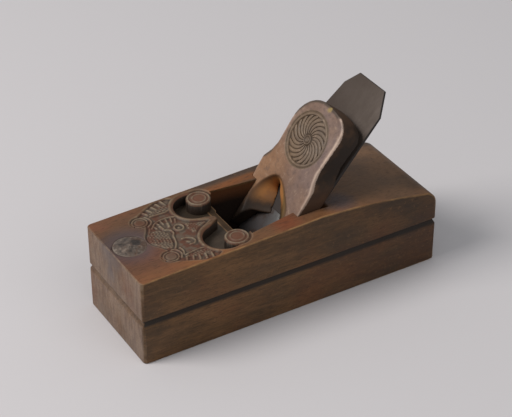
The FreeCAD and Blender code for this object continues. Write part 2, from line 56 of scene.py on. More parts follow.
# short name: Blender's name, settings, the inputs that a call fills in order, and the output (None for all)
nodeKinds = {
    "place": ("ShaderNodeTexCoord", {}, (), "Object"),
    "facing": ("ShaderNodeNewGeometry", {}, (), "Normal"),
    "mark": ("ShaderNodeAttribute", {}, (), "Fac"),
    "split": ("ShaderNodeSeparateXYZ", {}, ("Vector",), None),
    "joined": ("ShaderNodeCombineXYZ", {}, ("X", "Y", "Z"), 0),
    "spread": ("ShaderNodeMapping", {}, ("Vector", "Scale"), 0),
    "turned": ("ShaderNodeMapping", {}, ("Vector", "Rotation"), 0),
    "noise": ("ShaderNodeTexNoise", {}, ("Vector", "Scale", "Detail", "Roughness", "Distortion"), "Fac"),
    "distance": ("ShaderNodeVectorMath", {"operation": "DISTANCE"}, (0, 1), "Value"),
    "dot": ("ShaderNodeVectorMath", {"operation": "DOT_PRODUCT"}, (0, 1), "Value"),
    "smooth": ("ShaderNodeMapRange", {"interpolation_type": "SMOOTHSTEP"},
               ("Value", "From Min", "From Max", "To Min", "To Max"), "Result"),
    "straight": ("ShaderNodeMapRange", {}, ("Value", "From Min", "From Max"), "Result"),
    "blend": ("ShaderNodeMix", {"data_type": "RGBA"}, ("Factor", 6, 7), 2),
    "relief": ("ShaderNodeBump", {}, ("Height", "Strength", "Distance"), 0),
    "surface": ("ShaderNodeBsdfPrincipled", {},
                ("Base Color", "Roughness", "Metallic", "Specular IOR Level", "Normal"), 0),
    "output": ("ShaderNodeOutputMaterial", {}, ("Surface",), None),
    "sky": ("ShaderNodeBackground", {}, ("Color", "Strength"), 0),
    "skyOutput": ("ShaderNodeOutputWorld", {}, ("Surface",), None),
    "given": ("NodeGroupInput", {}, (), None),
    "result": ("NodeGroupOutput", {}, (0,), None),
    "line": ("GeometryNodeCurvePrimitiveLine", {}, ("Start", "End"), 0),
    "resampled": ("GeometryNodeResampleCurve", {"mode": "COUNT"}, ("Curve", "Count"), 0),
    "share": ("GeometryNodeSplineParameter", {}, (), "Factor"),
    "moved": ("GeometryNodeSetPosition", {}, ("Geometry", "Position"), 0),
    "circle": ("GeometryNodeCurvePrimitiveCircle", {}, ("Resolution", "Radius"), 0),
    "swept": ("GeometryNodeCurveToMesh", {}, ("Curve", "Profile Curve", "Scale", "Fill Caps"), 0),
    "flattened": ("GeometryNodeTransform", {}, ("Geometry", "Scale"), 0),
    "seeds": ("GeometryNodeMeshLine", {}, ("Count", "Offset"), 0),
    "index": ("GeometryNodeInputIndex", {}, (), 0),
    "copies": ("GeometryNodeInstanceOnPoints", {}, ("Points", "Instance", "Rotation"), 0),
    "real": ("GeometryNodeRealizeInstances", {}, ("Geometry",), 0),
    "dressed": ("GeometryNodeSetMaterial", {}, ("Geometry", "Material"), 0),
}
mathKinds = {
    "times": "MULTIPLY", "plus": "ADD", "minus": "SUBTRACT", "over": "DIVIDE", "timesPlus": "MULTIPLY_ADD",
    "least": "MINIMUM", "most": "MAXIMUM", "size": "ABSOLUTE", "power": "POWER", "sine": "SINE",
    "cosine": "COSINE",
}
for word, operation in mathKinds.items():
    nodeKinds[word] = ("ShaderNodeMath", {"operation": operation}, (0, 1, 2), 0)


def addNode(tree, kind, *values, **settings):
    # a value is a number, a hex colour, an output of an earlier node, or None to leave that input alone
    blenderName, fixed, sockets, output = nodeKinds[kind]
    node = tree.nodes.new(blenderName)
    for name, value in {**fixed, **settings}.items():
        setattr(node, name, value)
    for socket, value in zip(sockets, values):
        if isinstance(value, bpy.types.NodeSocket):
            tree.links.new(value, node.inputs[socket])
        elif value is not None:
            node.inputs[socket].default_value = hexColor(value) if isinstance(value, str) else value
    return node.outputs if output is None else node.outputs[output]


def startMaterial(name):
    made = bpy.data.materials.new(name)
    made.use_nodes = True
    made.node_tree.nodes.clear()
    return made, partial(addNode, made.node_tree)


def measurePiece(add, look):
    # all that a colour can depend on: place in mm, tilt, noise patterns, marks, distance to spots and lines
    at = {"place": add("spread", add("place"), (1000, 1000, 1000)), "normal": add("facing")}
    at["x"], at["y"], at["z"] = add("split", at["place"])
    tiltX, _, at["upward"] = add("split", at["normal"])
    at["endward"] = add("size", tiltX)
    at["side"] = add("size", at["y"])
    for name, (sizes, detail, rough, twist, turn) in look["patterns"].items():
        ground = add("turned", at["place"], (0, math.radians(turn), 0)) if turn else at["place"]
        spread = add("spread", ground, [1 / size for size in sizes])
        at[name] = add("noise", spread, 1.0, detail, rough, twist)
    for name in look.get("marks", ()):
        at[name] = add("mark", attribute_name=name)
    for name, (spot, pattern, wander) in look.get("spots", {}).items():
        at[name] = add("plus", add("distance", at["place"], spot), add("times", at[pattern], wander))
    for name, (axis, middle) in look.get("lines", {}).items():
        at[name] = add("size", add("minus", at[axis], middle))
    return at


def strengthOf(add, at, limits, kind="smooth"):
    # the product of its parts: a number, a source, or a fading source (its name, begins, full, two strengths)
    product = None
    for limit in limits:
        fades = isinstance(limit, tuple)
        part = add(kind, at[limit[0]], *limit[1:]) if fades else at.get(limit, limit)
        product = part if product is None else add("times", product, part)
    return product


def paintLayers(add, at, colors, color, layers, kind="smooth"):
    # each layer is a colour's name and what its strength depends on
    for name, *limits in layers:
        color = add("blend", strengthOf(add, at, limits, kind), color, colors[name])
    return color


def paintedColor(add, at, look):
    # the mixed colours first, then the base, which fades evenly from colour to colour, then the layers
    colors = dict(look["colors"])
    for name, (below, layers) in look.get("mixtures", {}).items():
        colors[name] = paintLayers(add, at, colors, colors[below], layers)
    below, *steps = look["base"]
    color = paintLayers(add, at, colors, colors[below], steps, "straight")
    return paintLayers(add, at, colors, color, look["layers"])


def finishMaterial(add, at, look, color, rough):
    # fine relief is a sum of patterns
    height = None
    for pattern, share in look["relief"]:
        part = add("times", at[pattern], share)
        height = part if height is None else add("plus", height, part)
    relief = add("relief", height, look["reliefStrength"], look["reliefDepth"] * mm)
    add("output", add("surface", color, rough, look["metallic"], look.get("specular"), relief))


# Woods. Both are dense fruitwood or walnut, cut by hand and darkened by oil, wax and hands.

stockWoodLook = {
    "colors": {
        "dark": "#3a2a19", "middle": "#593f25", "light": "#735234", "red": "#67391f", "worn": "#855530",
        "top": "#5c4333", "rear": "#765943", "heel": "#2a211a", "farWarm": "#7b4a27", "farGrey": "#3f342e",
        "ember": "#733d24", "stain": "#474349", "toe": "#8b7768", "toeRed": "#6e4130", "toeRay": "#6f5c53",
        "pore": "#20160f", "patina": "#5c5045", "redGround": "#573629", "crest": "#857560", "dirt": "#1d1510",
        "edge": "#a37c50", "toeEdge": "#85725f", "lip": "#62402f", "pocket": "#4b4137", "wall": "#1d1510",
        "farPocket": "#30281f", "cheek": "#54311a", "ledge": "#40301f", "line": "#7c5f44",
        "throat": "#1b100a",
    },
    # size along, across and up in mm, detail, roughness, twist, turn in degrees
    "patterns": {
        "figure": ((36.23, 4.348, 4.348), 5, 0.6, 0.3, 0),  # bands of the growth rings, about 4 mm wide
        "clouds": ((33.33, 16.67, 16.67), 4, 0.6, 0, 0),  # oil that soaked in unevenly
        "patches": ((59.52, 41.67, 41.67), 4, 0.6, 0, 0),  # redder heartwood
        "pores": ((4.525, 0.5882, 0.5882), 3, 0.6, 0, 0),  # real ones are 0.2 mm wide, drawn coarser to show
        "speck": ((1.613, 1.613, 1.613), 4, 0.65, 0, 0),  # wear in the wax
        "hair": ((6.579, 1.053, 1.053), 4, 0.7, 0, 0),  # fibre streaks of 0.3 mm, drawn coarser to show
        "endCloud": ((11.11, 11.11, 24.69), 5, 0.65, 0, 0),
        "rays": ((2.381, 2.381, 11.905), 4, 0.6, 0, 0),  # upright streaks in the end grain
        "tint": ((4.762, 4.762, 4.762), 4, 0.6, 0, 0),  # red and grey ground in the carving
        "rubbing": ((21.98, 7.692, 7.692), 5, 0.7, 0, 0),  # how far an arris is rubbed
    },
    "marks": ("wear", "hollow", "carved", "crest", "lip"),
    # distance from a spot, made uneven by a pattern times some mm
    "spots": {
        "fromEmber": ((-2, -23.5, 51.3), "clouds", 8),
        "fromStain": ((31, -21, 53), "clouds", 8),
        "fromButton": ((-78.5, 1.5, 51), "patches", 8),
    },
    # distance from a line or a plane
    "lines": {
        "fromFarEdge": ("y", 22.5), "fromStreak": ("y", 3.5), "fromApex": ("z", 25.57),
        "fromLedge": ("x", -26.4), "fromThroat": ("x", -22.1), "fromLedgeTop": ("z", 44.0),
    },
    "topTilt": (0.55, 0.9), "slope": 0.0293, "topAtMiddle": 52.19, "wander": 4,
    # iron stain round the button, and in a streak down the toe
    "buttonStain": [("fromButton", 23.5, 12.5, 0, 0.6)],
    "toeStreak": [("unevenStreak", 7.5, 2.5), ("z", 29, 37, 0, 0.55), ("x", -86, -88)],
    # the groove is painted dark along the sides with dirt and painted shade, as the sides stand in shade, and
    # only a line at its apex is dark on the ends, which face the lamp
    "grooveEnd": [("endward", 0.15, 0.4)], "grooveLine": [("fromApex", 1.0, 0.3, 0.25, 0.95)],
    "grooveDirtAndShade": 0.94,
    # inside the carved mouth and the throat, below the slope of the top, where dirt and painted shade darken
    # the wood
    "inside": [("under", 1.0, 1.6), ("side", 28.5, 27.5), ("x", -48, -46.5), ("x", 30, 24), ("z", 0.4, 0.9)],
    # the throat is painted darker the deeper it lies under the top, near black low down: painted shade with
    # dirt
    "throatDark": [("x", -22.2, -21.4), ("unevenUnder", 4.5, 12.5)], "throatBlack": [("under", 8.8, 9.8)],
    # colours that are mixed first: the colour below, and the layers over it
    "mixtures": {
        "topColor": ("top", [("rear", ("x", 10, 50))]),
        "endColor": ("toe", [
            ("toeRay", ("rays", 0.44, 0.62, 0, 0.8)), ("toeRed", ("patches", 0.5, 0.64, 0, 0.4))]),
        "ground": ("redGround", [("patina", ("tint", 0.42, 0.58))]),
        "rubbed": ("edge", [("toeEdge", ("x", -86.2, -87.5))]),
        # pocket floors: darker on the far side as painted shade, with dark clouds of dirt
        "floor": ("pocket", [("farPocket", ("y", -4, 4)), ("wall", ("clouds", 0.4, 0.7, 0, 0.6))]),
        # mouth walls are painted near black and only the floors and ledge that face up are lighter: painted
        # shade with dirt
        "mouth": ("wall", [
            ("floor", ("upward", 0.3, 0.8)), ("ledge", ("x", -27.5, -26.4), ("upward", 0.5, 0.8)),
            ("cheek", ("x", -22.2, -21.4))]),
    },
    "base": ["dark", ("middle", ("clouds", 0.22, 0.5)), ("light", ("clouds", 0.5, 0.8))],
    "layers": [
        ("light", ("figure", 0.5, 0.66, 0, 0.45)),
        ("dark", ("figure", 0.47, 0.34, 0, 0.4)),
        ("light", ("hair", 0.52, 0.66, 0, 0.32)),
        ("dark", ("hair", 0.47, 0.36, 0, 0.42)),
        ("red", ("patches", 0.45, 0.68, 0, 0.42)),
        # the sides darken towards the heel, the top is rubbed paler and warmest along its long arrises
        ("heel", ("x", -20, 85, 0, 0.78), ("clouds", 0.3, 0.65, 1, 0.6)),
        ("topColor", "top", ("clouds", 0.3, 0.7, 0.45, 0.95)),
        ("worn", "top", ("side", 17, 29), ("y", 0, -20, 0.3, 1), ("x", 70, 10, 0.25, 1),
         ("patches", 0.35, 0.6, 0.3, 0.95)),
        # the far edge of the throat is rubbed orange inside and grey outside, and the near abutment is redder
        ("farWarm", "top", ("x", -26, -20), ("x", 12, 4), ("fromFarEdge", 3.8, 1.2, 0, 0.85),
         ("clouds", 0.35, 0.6, 0.25, 1)),
        ("farGrey", "top", ("y", 24.5, 28, 0, 0.8), ("x", -35, -20)),
        ("ember", "top", ("fromEmber", 16.5, 6.5, 0, 0.8)),
        ("stain", "top", ("fromStain", 17.5, 7, 0, 0.7)),
        ("toeRed", "top", ("x", -50, -75), ("patches", 0.4, 0.6, 0.1, 0.6)),
        # end grain at toe and heel is greyer, with upright rays
        ("endColor", ("endward", 0.8, 0.97, 0, 0.75), ("endCloud", 0.3, 0.62, 0.55, 1)),
        ("pore", ("pores", 0.5, 0.68, 0, 0.5), ("clouds", 0.25, 0.6, 0.5, 1)),
        ("light", ("speck", 0.44, 0.3, 0, 0.4)),
        ("stain", "stained"),
        # relief and arrises come worn, hollows hold dirt
        ("ground", "carved", 0.85),
        ("crest", "crest", ("speck", 0.3, 0.6, 0.4, 1), ("tint", 0.36, 0.54, 0.45, 1)),
        ("rubbed", "wear", ("rubbing", 0.4, 0.64, 0.12, 0.85)),
        ("dirt", "hollow", ("speck", 0.3, 0.6, 1.0, 0.75)),
        ("lip", "lip", ("speck", 0.3, 0.6, 0.55, 0.95)),
        # the groove: dirt with painted shade on the sides, a dark line at the ends
        ("dirt", "grooved", ("z", 22.3, 23.8), ("z", 27.0, 26.7), ("level", 0.12, 0.3)),
        # the mouth and throat painted dark: painted shade with dirt
        ("mouth", "inside", 0.94),
        ("throat", "inside", "deep"),
        # a faint rubbed line on each edge of the ledge before the throat
        ("line", "inside", ("fromEdges", 0.6, 0.2, 0, 0.8), ("fromLedgeTop", 1.2, 0.9)),
    ],
    "gloss": [("clouds", 0.3, 0.7, 0.5, 0.64)], "specular": 0.3, "metallic": 0.0,
    "relief": [("speck", 0.6), ("pores", 0.5)], "reliefStrength": 0.35, "reliefDepth": 0.35,
}


def makeStockWood(look):
    # oiled walnut: short dark pores under a thin wax, rubbed orange on the arrises, black inside with dirt
    # and painted shade
    made, add = startMaterial("oiledWalnut")
    at = measurePiece(add, look)
    wavy = add("times", at["clouds"], look["wander"])
    at["top"] = add("smooth", at["upward"], *look["topTilt"])
    at["level"] = add("size", at["upward"])
    at["under"] = add("minus", add("timesPlus", at["x"], look["slope"], look["topAtMiddle"]), at["z"])
    at["unevenUnder"] = add("plus", at["under"], wavy)
    at["unevenStreak"] = add("plus", at["fromStreak"], wavy)
    at["fromEdges"] = add("least", at["fromLedge"], at["fromThroat"])
    strength = partial(strengthOf, add, at)
    # where the mouth and throat are painted dark with shade and dirt
    at["inside"] = strength(look["inside"])
    at["stained"] = add("most", strength(look["buttonStain"]), strength(look["toeStreak"]))
    at["deep"] = add("most", strength(look["throatDark"]), strength(look["throatBlack"]))
    # the groove's painted shade and dirt: full on the sides, only the apex line on the ends
    onEnd = strength(look["grooveEnd"])
    onSide = add("times", add("minus", 1.0, onEnd), look["grooveDirtAndShade"])
    at["grooved"] = add("timesPlus", onEnd, strength(look["grooveLine"]), onSide)
    finishMaterial(add, at, look, paintedColor(add, at, look), strength(look["gloss"]))
    return made


wedgeWoodLook = {
    "colors": {
        "dark": "#624c3f", "middle": "#775f51", "light": "#8c7261", "violet": "#6a5d5e", "orange": "#8c6340",
        "spot": "#4b3f3c", "pale": "#9a8472", "rosette": "#6a5c48", "side": "#251a12", "sideLight": "#4c3626",
        "foot": "#563a27", "edge": "#b9a293", "dirt": "#2e231b", "rim": "#3d332b", "fork": "#b57d48",
        "forkNear": "#84673f", "forkFront": "#5e483a", "foul": "#1a120d", "chip": "#a08a52",
    },
    "patterns": {
        "grain": ((16.67, 3.333, 3.333), 5, 0.6, 0.4, 53),  # growth rings, which run up the wedge
        "cloud": ((13.33, 13.33, 13.33), 5, 0.62, 0, 0),  # hands darkened it unevenly
        "broad": ((31.25, 31.25, 31.25), 3, 0.5, 0, 0),
        "fleck": ((3.636, 0.9091, 0.9091), 3, 0.6, 0, 53),  # ray flecks of 0.5 mm, drawn coarser to show
        "mottle": ((3.03, 3.03, 3.03), 5, 0.7, 0, 0),  # spots where the skin of wax has gone
    },
    "marks": ("wear", "hollow", "carved", "rim"),
    "spots": {"fromChip": ((35.5, -4.4, 96.8), "mottle", 3)},
    "faceAngle": 56, "wander": 14, "aside": ("facing", 0.9, 0.6), "crown": ("z", 75, 100, 0, 0.25),
    "mixtures": {
        "sideColor": ("side", [("sideLight", ("crown", 0.45, 0.8)), ("foot", ("z", 68, 56, 0, 0.5))]),
        # the fork is orange inside, and darker along the front of each prong, with dirt and the painted
        # shadow of the cheeks
        "forkColor": ("forkNear", [
            ("fork", ("y", -4, 1)), ("forkFront", ("lift", 19.5, 24.5, 0, 0.85)),
            ("dark", ("cloud", 0.48, 0.7, 0, 0.6))]),
    },
    "base": ["dark", ("middle", ("cloud", 0.3, 0.5)), ("light", ("cloud", 0.5, 0.7))],
    "layers": [
        ("light", ("grain", 0.5, 0.7, 0, 0.25)),
        # bluish on the near half, warm on the far shoulder and low on the tongue
        ("violet", ("broad", 0.4, 0.62, 0.15, 0.85), ("y", 12, -14, 0.2, 0.9)),
        ("orange", ("z", 84, 62), ("y", -12, 18, 0.15, 0.62)),
        ("rosette", "carved", 0.6),
        ("dark", ("fleck", 0.55, 0.72, 0, 0.35)),
        ("spot", ("mottle", 0.5, 0.68, 0, 0.5)),
        ("pale", ("mottle", 0.46, 0.32, 0, 0.45)),
        ("sideColor", "aside"),
        ("forkColor", ("facing", 0.97, 0.85), ("z", 65.5, 61), ("side", 20.5, 18.5)),
        # black low in the throat, where the light doesn't reach: painted shade with dirt
        ("foul", ("unevenZ", 48.8, 39.8, 0, 0.96)),
        # the near arris: rubbed pale, and partly a painted highlight
        ("edge", "wear", ("cloud", 0.38, 0.56, 0.25, 1.0), ("z", 60, 82, 0.5, 1.0)),
        ("dirt", "hollow", ("broad", 0.35, 0.62, 0.3, 0.62)),
        ("rim", "rim", ("cloud", 0.3, 0.55, 0.3, 0.85)),
        # a fresh chip on the crown
        ("chip", ("fromChip", 3.5, 2.2, 0, 0.65)),
    ],
    "gloss": [("cloud", 0.35, 0.65, 0.42, 0.56)], "asideDull": 0.3, "specular": 0.32, "metallic": 0.0,
    "relief": [("cloud", 1.0), ("fleck", 0.3)], "reliefStrength": 0.3, "reliefDepth": 0.4,
}


def makeWedgeWood(look):
    # pear or plum heartwood, handled smooth: dull pink on the face, bluish from hands, black-brown aside
    made, add = startMaterial("handledPearwood")
    at = measurePiece(add, look)
    angle = math.radians(look["faceAngle"])
    outOfFace = (-math.sin(angle), 0, math.cos(angle))
    at["facing"] = add("dot", at["normal"], outOfFace)
    at["lift"] = add("dot", at["place"], outOfFace)
    # away from the face the wood is nearly black, a little browner near the crown and at the foot
    at["aside"] = add("times", strengthOf(add, at, [look["aside"]]), add("minus", 1.0, at["carved"]))
    at["crown"] = add("plus", at["cloud"], strengthOf(add, at, [look["crown"]]))
    at["unevenZ"] = add("plus", at["z"], add("times", add("minus", at["cloud"], 0.5), look["wander"]))
    # never waxed aside, so the sky doesn't shine there
    dull = add("timesPlus", at["aside"], look["asideDull"], strengthOf(add, at, look["gloss"]))
    finishMaterial(add, at, look, paintedColor(add, at, look), dull)
    return made


# Metals

ironLook = {
    "colors": {
        "grey": "#473c35", "brown": "#3f332c", "pale": "#4c413b", "dark": "#2a2320", "edge": "#1e1815",
        "foul": "#383231", "low": "#392f29",
    },
    "patterns": {
        "cloud": ((18.18, 18.18, 18.18), 5, 0.6, 0, 0),  # thin rust, uneven
        "grit": ((0.9091, 0.9091, 0.9091), 4, 0.65, 0, 0),  # scale pits of 0.3 mm, drawn coarser to show
        "scratch": ((7.937, 2.381, 7.937), 4, 0.6, 0.3, 0),
    },
    "marks": ("wear",),
    "base": ["brown", ("grey", ("cloud", 0.3, 0.5)), ("pale", ("cloud", 0.5, 0.7))],
    "layers": [
        ("dark", ("grit", 0.58, 0.72, 0, 0.45)),
        ("low", ("z", 90, 60, 0, 0.7)),
        # darker where the iron goes down into the throat: painted shadow of the wedge over grime
        ("foul", ("z", 52, 44, 0, 0.8)),
        ("edge", "wear", 0.85),
    ],
    "gloss": [("scratch", 0.35, 0.65, 0.56, 0.64)], "metallic": 0.3,
    "relief": [("grit", 0.7), ("scratch", 1.0)], "reliefStrength": 0.3, "reliefDepth": 0.2,
}


def makeForgedIron(look):
    # hand-forged wrought iron under thin old rust: brown-grey, rubbed dull, never polished
    made, add = startMaterial("forgedIron")
    at = measurePiece(add, look)
    finishMaterial(add, at, look, paintedColor(add, at, look), strengthOf(add, at, look["gloss"]))
    return made


steelLook = {
    "colors": {"foul": "#474344", "bright": "#8f9192", "rust": "#3f312a"},
    "patterns": {
        "cloud": ((7.692, 7.692, 7.692), 4, 0.6, 0, 0),
        "lines": ((1.111, 3.704, 1.111), 3, 0.55, 0, 0),  # lines of the stone, 0.1 mm in truth, drawn coarser
    },
    "base": ["foul"],
    "layers": [
        # rubbed bright where shavings pass between the prongs, foul towards the far side and the mouth
        ("bright", ("y", 8, -6), ("z", 26, 38), ("cloud", 0.3, 0.62, 0.45, 1)),
        ("rust", ("cloud", 0.5, 0.64, 0, 0.7)),
    ],
    "roughness": 0.45, "metallic": 0.5,
    "relief": [("lines", 1.0)], "reliefStrength": 0.15, "reliefDepth": 0.1,
}


def makeGroundSteel(look):
    # steel ground on a stone: bluer and a little brighter than the iron, with rust flecks
    made, add = startMaterial("groundSteel")
    at = measurePiece(add, look)
    finishMaterial(add, at, look, paintedColor(add, at, look), look["roughness"])
    return made


buttonLook = {
    "colors": {"grey": "#665a52", "pale": "#93867b", "dark": "#332d2b", "rust": "#5a3d2c"},
    "patterns": {
        "cloud": ((6.667, 6.667, 6.667), 5, 0.65, 0, 0),  # rust between the taps
        "grit": ((2.381, 2.381, 2.381), 4, 0.6, 0, 0),  # pits of 0.5 mm, drawn coarser to show
    },
    "marks": ("wear", "hollow"),
    "base": ["dark", ("grey", ("grit", 0.26, 0.5))],
    "layers": [("rust", ("cloud", 0.45, 0.62, 0, 0.7)), ("dark", "hollow", 0.85), ("pale", "wear", 0.75)],
    "roughness": 0.48, "metallic": 0.4,
    "relief": [("grit", 1.0)], "reliefStrength": 0.4, "reliefDepth": 0.3,
}


def makeButtonIron(look):
    # forged iron stud, peened by years of taps: dark in the dents, rust-brown between, rubbed pale where high
    made, add = startMaterial("peenedIron")
    at = measurePiece(add, look)
    finishMaterial(add, at, look, paintedColor(add, at, look), look["roughness"])
    return made


print("materials")
stockWood = makeStockWood(stockWoodLook)
wedgeWood = makeWedgeWood(wedgeWoodLook)
forgedIron = makeForgedIron(ironLook)
groundSteel = makeGroundSteel(steelLook)
buttonIron = makeButtonIron(buttonLook)


# Mesh helpers, in millimetres

def addObject(name, data):
    made = bpy.data.objects.new(name, data)
    bpy.context.scene.collection.objects.link(made)
    return made


def placedBy(*columns):
    # matrix from three axes and a place
    return Matrix([[column[i] for column in columns] for i in range(3)] + [[0, 0, 0, 1]])


def copyOf(node, joinWithin, flatWithin=None):
    # CAD piece as a mesh in millimetres, its faces whole again where they are flat within some degrees
    bm = bmesh.new()
    bm.from_mesh(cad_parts[node].data)
    bmesh.ops.scale(bm, vec=(1000, 1000, 1000), verts=bm.verts)
    bmesh.ops.remove_doubles(bm, verts=bm.verts, dist=joinWithin)
    if flatWithin:
        bmesh.ops.dissolve_limit(bm, angle_limit=math.radians(flatWithin), verts=bm.verts, edges=bm.edges)
    return bm


def addLayers(bm, *names):
    # one number for each point, which the materials read by its name
    for name in names:
        bm.verts.layers.float.new(name)
    return [bm.verts.layers.float[name] for name in names]


def evaluated(holder):
    # what the holder's modifiers make of it, as a plain mesh
    bpy.context.view_layer.update()
    mesh = bpy.data.meshes.new_from_object(holder.evaluated_get(bpy.context.evaluated_depsgraph_get()))
    bpy.data.objects.remove(holder)
    return mesh


arris = {"sharp": 24, "segments": 3}


def roundArrises(bm, widthAt, name):
    # widthAt gives the worn width of a sharp edge from its middle point
    widest = 0.01
    widths = {}
    for edge in bm.edges:
        if len(edge.link_faces) == 2 and edge.calc_face_angle(0) >= math.radians(arris["sharp"]):
            widths[edge.index] = widthAt((edge.verts[0].co + edge.verts[1].co) / 2)
            widest = max(widest, widths[edge.index])
    layer = bm.edges.layers.float.new("bevel_weight_edge")
    for edge in bm.edges:
        edge[layer] = widths.get(edge.index, 0) / widest
    mesh = bpy.data.meshes.new(name)
    bm.to_mesh(mesh)
    bm.free()
    holder = addObject(name + "Plain", mesh)
    bevel = holder.modifiers.new("Arrises", "BEVEL")
    bevel.limit_method = "WEIGHT"
    bevel.width = widest
    bevel.segments = arris["segments"]
    bevel.use_clamp_overlap = False
    bevel.miter_outer = "MITER_ARC"
    out = bmesh.new()
    out.from_mesh(evaluated(holder))
    return out


def gridOver(bm, chosen, axes, spans, pitch):
    # cut the chosen flat faces into a fine grid inside a rectangle of their plane
    faces = [f for f in bm.faces if chosen(f)]

    def cut(faces, place, normal):
        geom = set(faces)
        for f in faces:
            geom.update(f.edges)
            geom.update(f.verts)
        done = bmesh.ops.bisect_plane(bm, geom=list(geom), dist=1e-4, plane_co=place, plane_no=normal)
        return [g for g in done["geom"] if isinstance(g, bmesh.types.BMFace)]

    for axis, (low, high) in zip(axes, spans):
        for edge in (low, high):
            faces = cut(faces, axis * edge, axis)
        faces = [f for f in faces if low - 1e-3 < f.calc_center_median().dot(axis) < high + 1e-3]
    for axis, (low, high) in zip(axes, spans):
        count = max(1, round((high - low) / pitch))
        for i in range(1, count):
            faces = cut(faces, axis * (low + (high - low) * i / count), axis)
    return faces


def nearLine(points, line):
    # distance of each point from a line through the given corners
    best = np.full(len(points), 1e9)
    for a, b in zip(line[:-1], line[1:]):
        a, b = np.array(a, float), np.array(b, float)
        d = b - a
        t = np.clip(((points - a) @ d) / max(d @ d, 1e-9), 0, 1)
        best = np.minimum(best, np.hypot(*(points - a - t[:, None] * d).T))
    return best


def smoothLine(corners, steps=6):
    # rounded line through the corners
    p = [np.array(c, float) for c in corners]
    p = [2 * p[0] - p[1]] + p + [2 * p[-1] - p[-2]]
    out = []
    for i in range(1, len(p) - 2):
        a, b, c, d = p[i - 1:i + 3]
        for k in range(steps):
            t = k / steps
            bend = (2 * a - 5 * b + 4 * c - d) * t * t + (3 * b - a - 3 * c + d) * t ** 3
            out.append(0.5 * (2 * b + (c - a) * t + bend))
    out.append(p[-2])
    return out


def within(points, loop):
    # signed distance from a closed outline, positive inside
    x, y = points.T
    inside = np.zeros(len(points), bool)
    ends = list(loop[1:]) + [loop[0]]
    for (ax, ay), (bx, by) in zip(loop, ends):
        crosses = (ay > y) != (by > y)
        with np.errstate(divide="ignore", invalid="ignore"):
            at = ax + (y - ay) / (by - ay) * (bx - ax)
        inside ^= crosses & (x < at)
    away = nearLine(points, list(loop) + [loop[0]])
    return np.where(inside, away, -away)


def step(value, low, high):
    t = np.clip((value - low) / (high - low), 0, 1)
    return t * t * (3 - 2 * t)


def bump(distance, width):
    # rounded ridge, 1 on its line and 0 at its foot
    return np.cos(np.clip(distance / width, 0, 1) * math.pi / 2) ** 1.5


def cutRing(distance, at, width):
    # soft round-bottomed cut, 1 at its middle
    return np.exp(-((distance - at) / width) ** 2)


def finishPiece(bm, name, material, body, node, smooth):
    bmesh.ops.scale(bm, vec=(mm, mm, mm), verts=bm.verts)
    mesh = bpy.data.meshes.new(name)
    bm.to_mesh(mesh)
    bm.free()
    mesh.validate()
    mesh.shade_smooth()
    mesh.set_sharp_from_angle(angle=math.radians(smooth))
    piece = addObject(name, mesh)
    mesh.materials.clear()
    mesh.materials.append(material)
    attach(piece, body)
    if node:
        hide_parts(node)
    return piece


# Stock: the plain block with worn arrises, then the carving cut into the front of its top

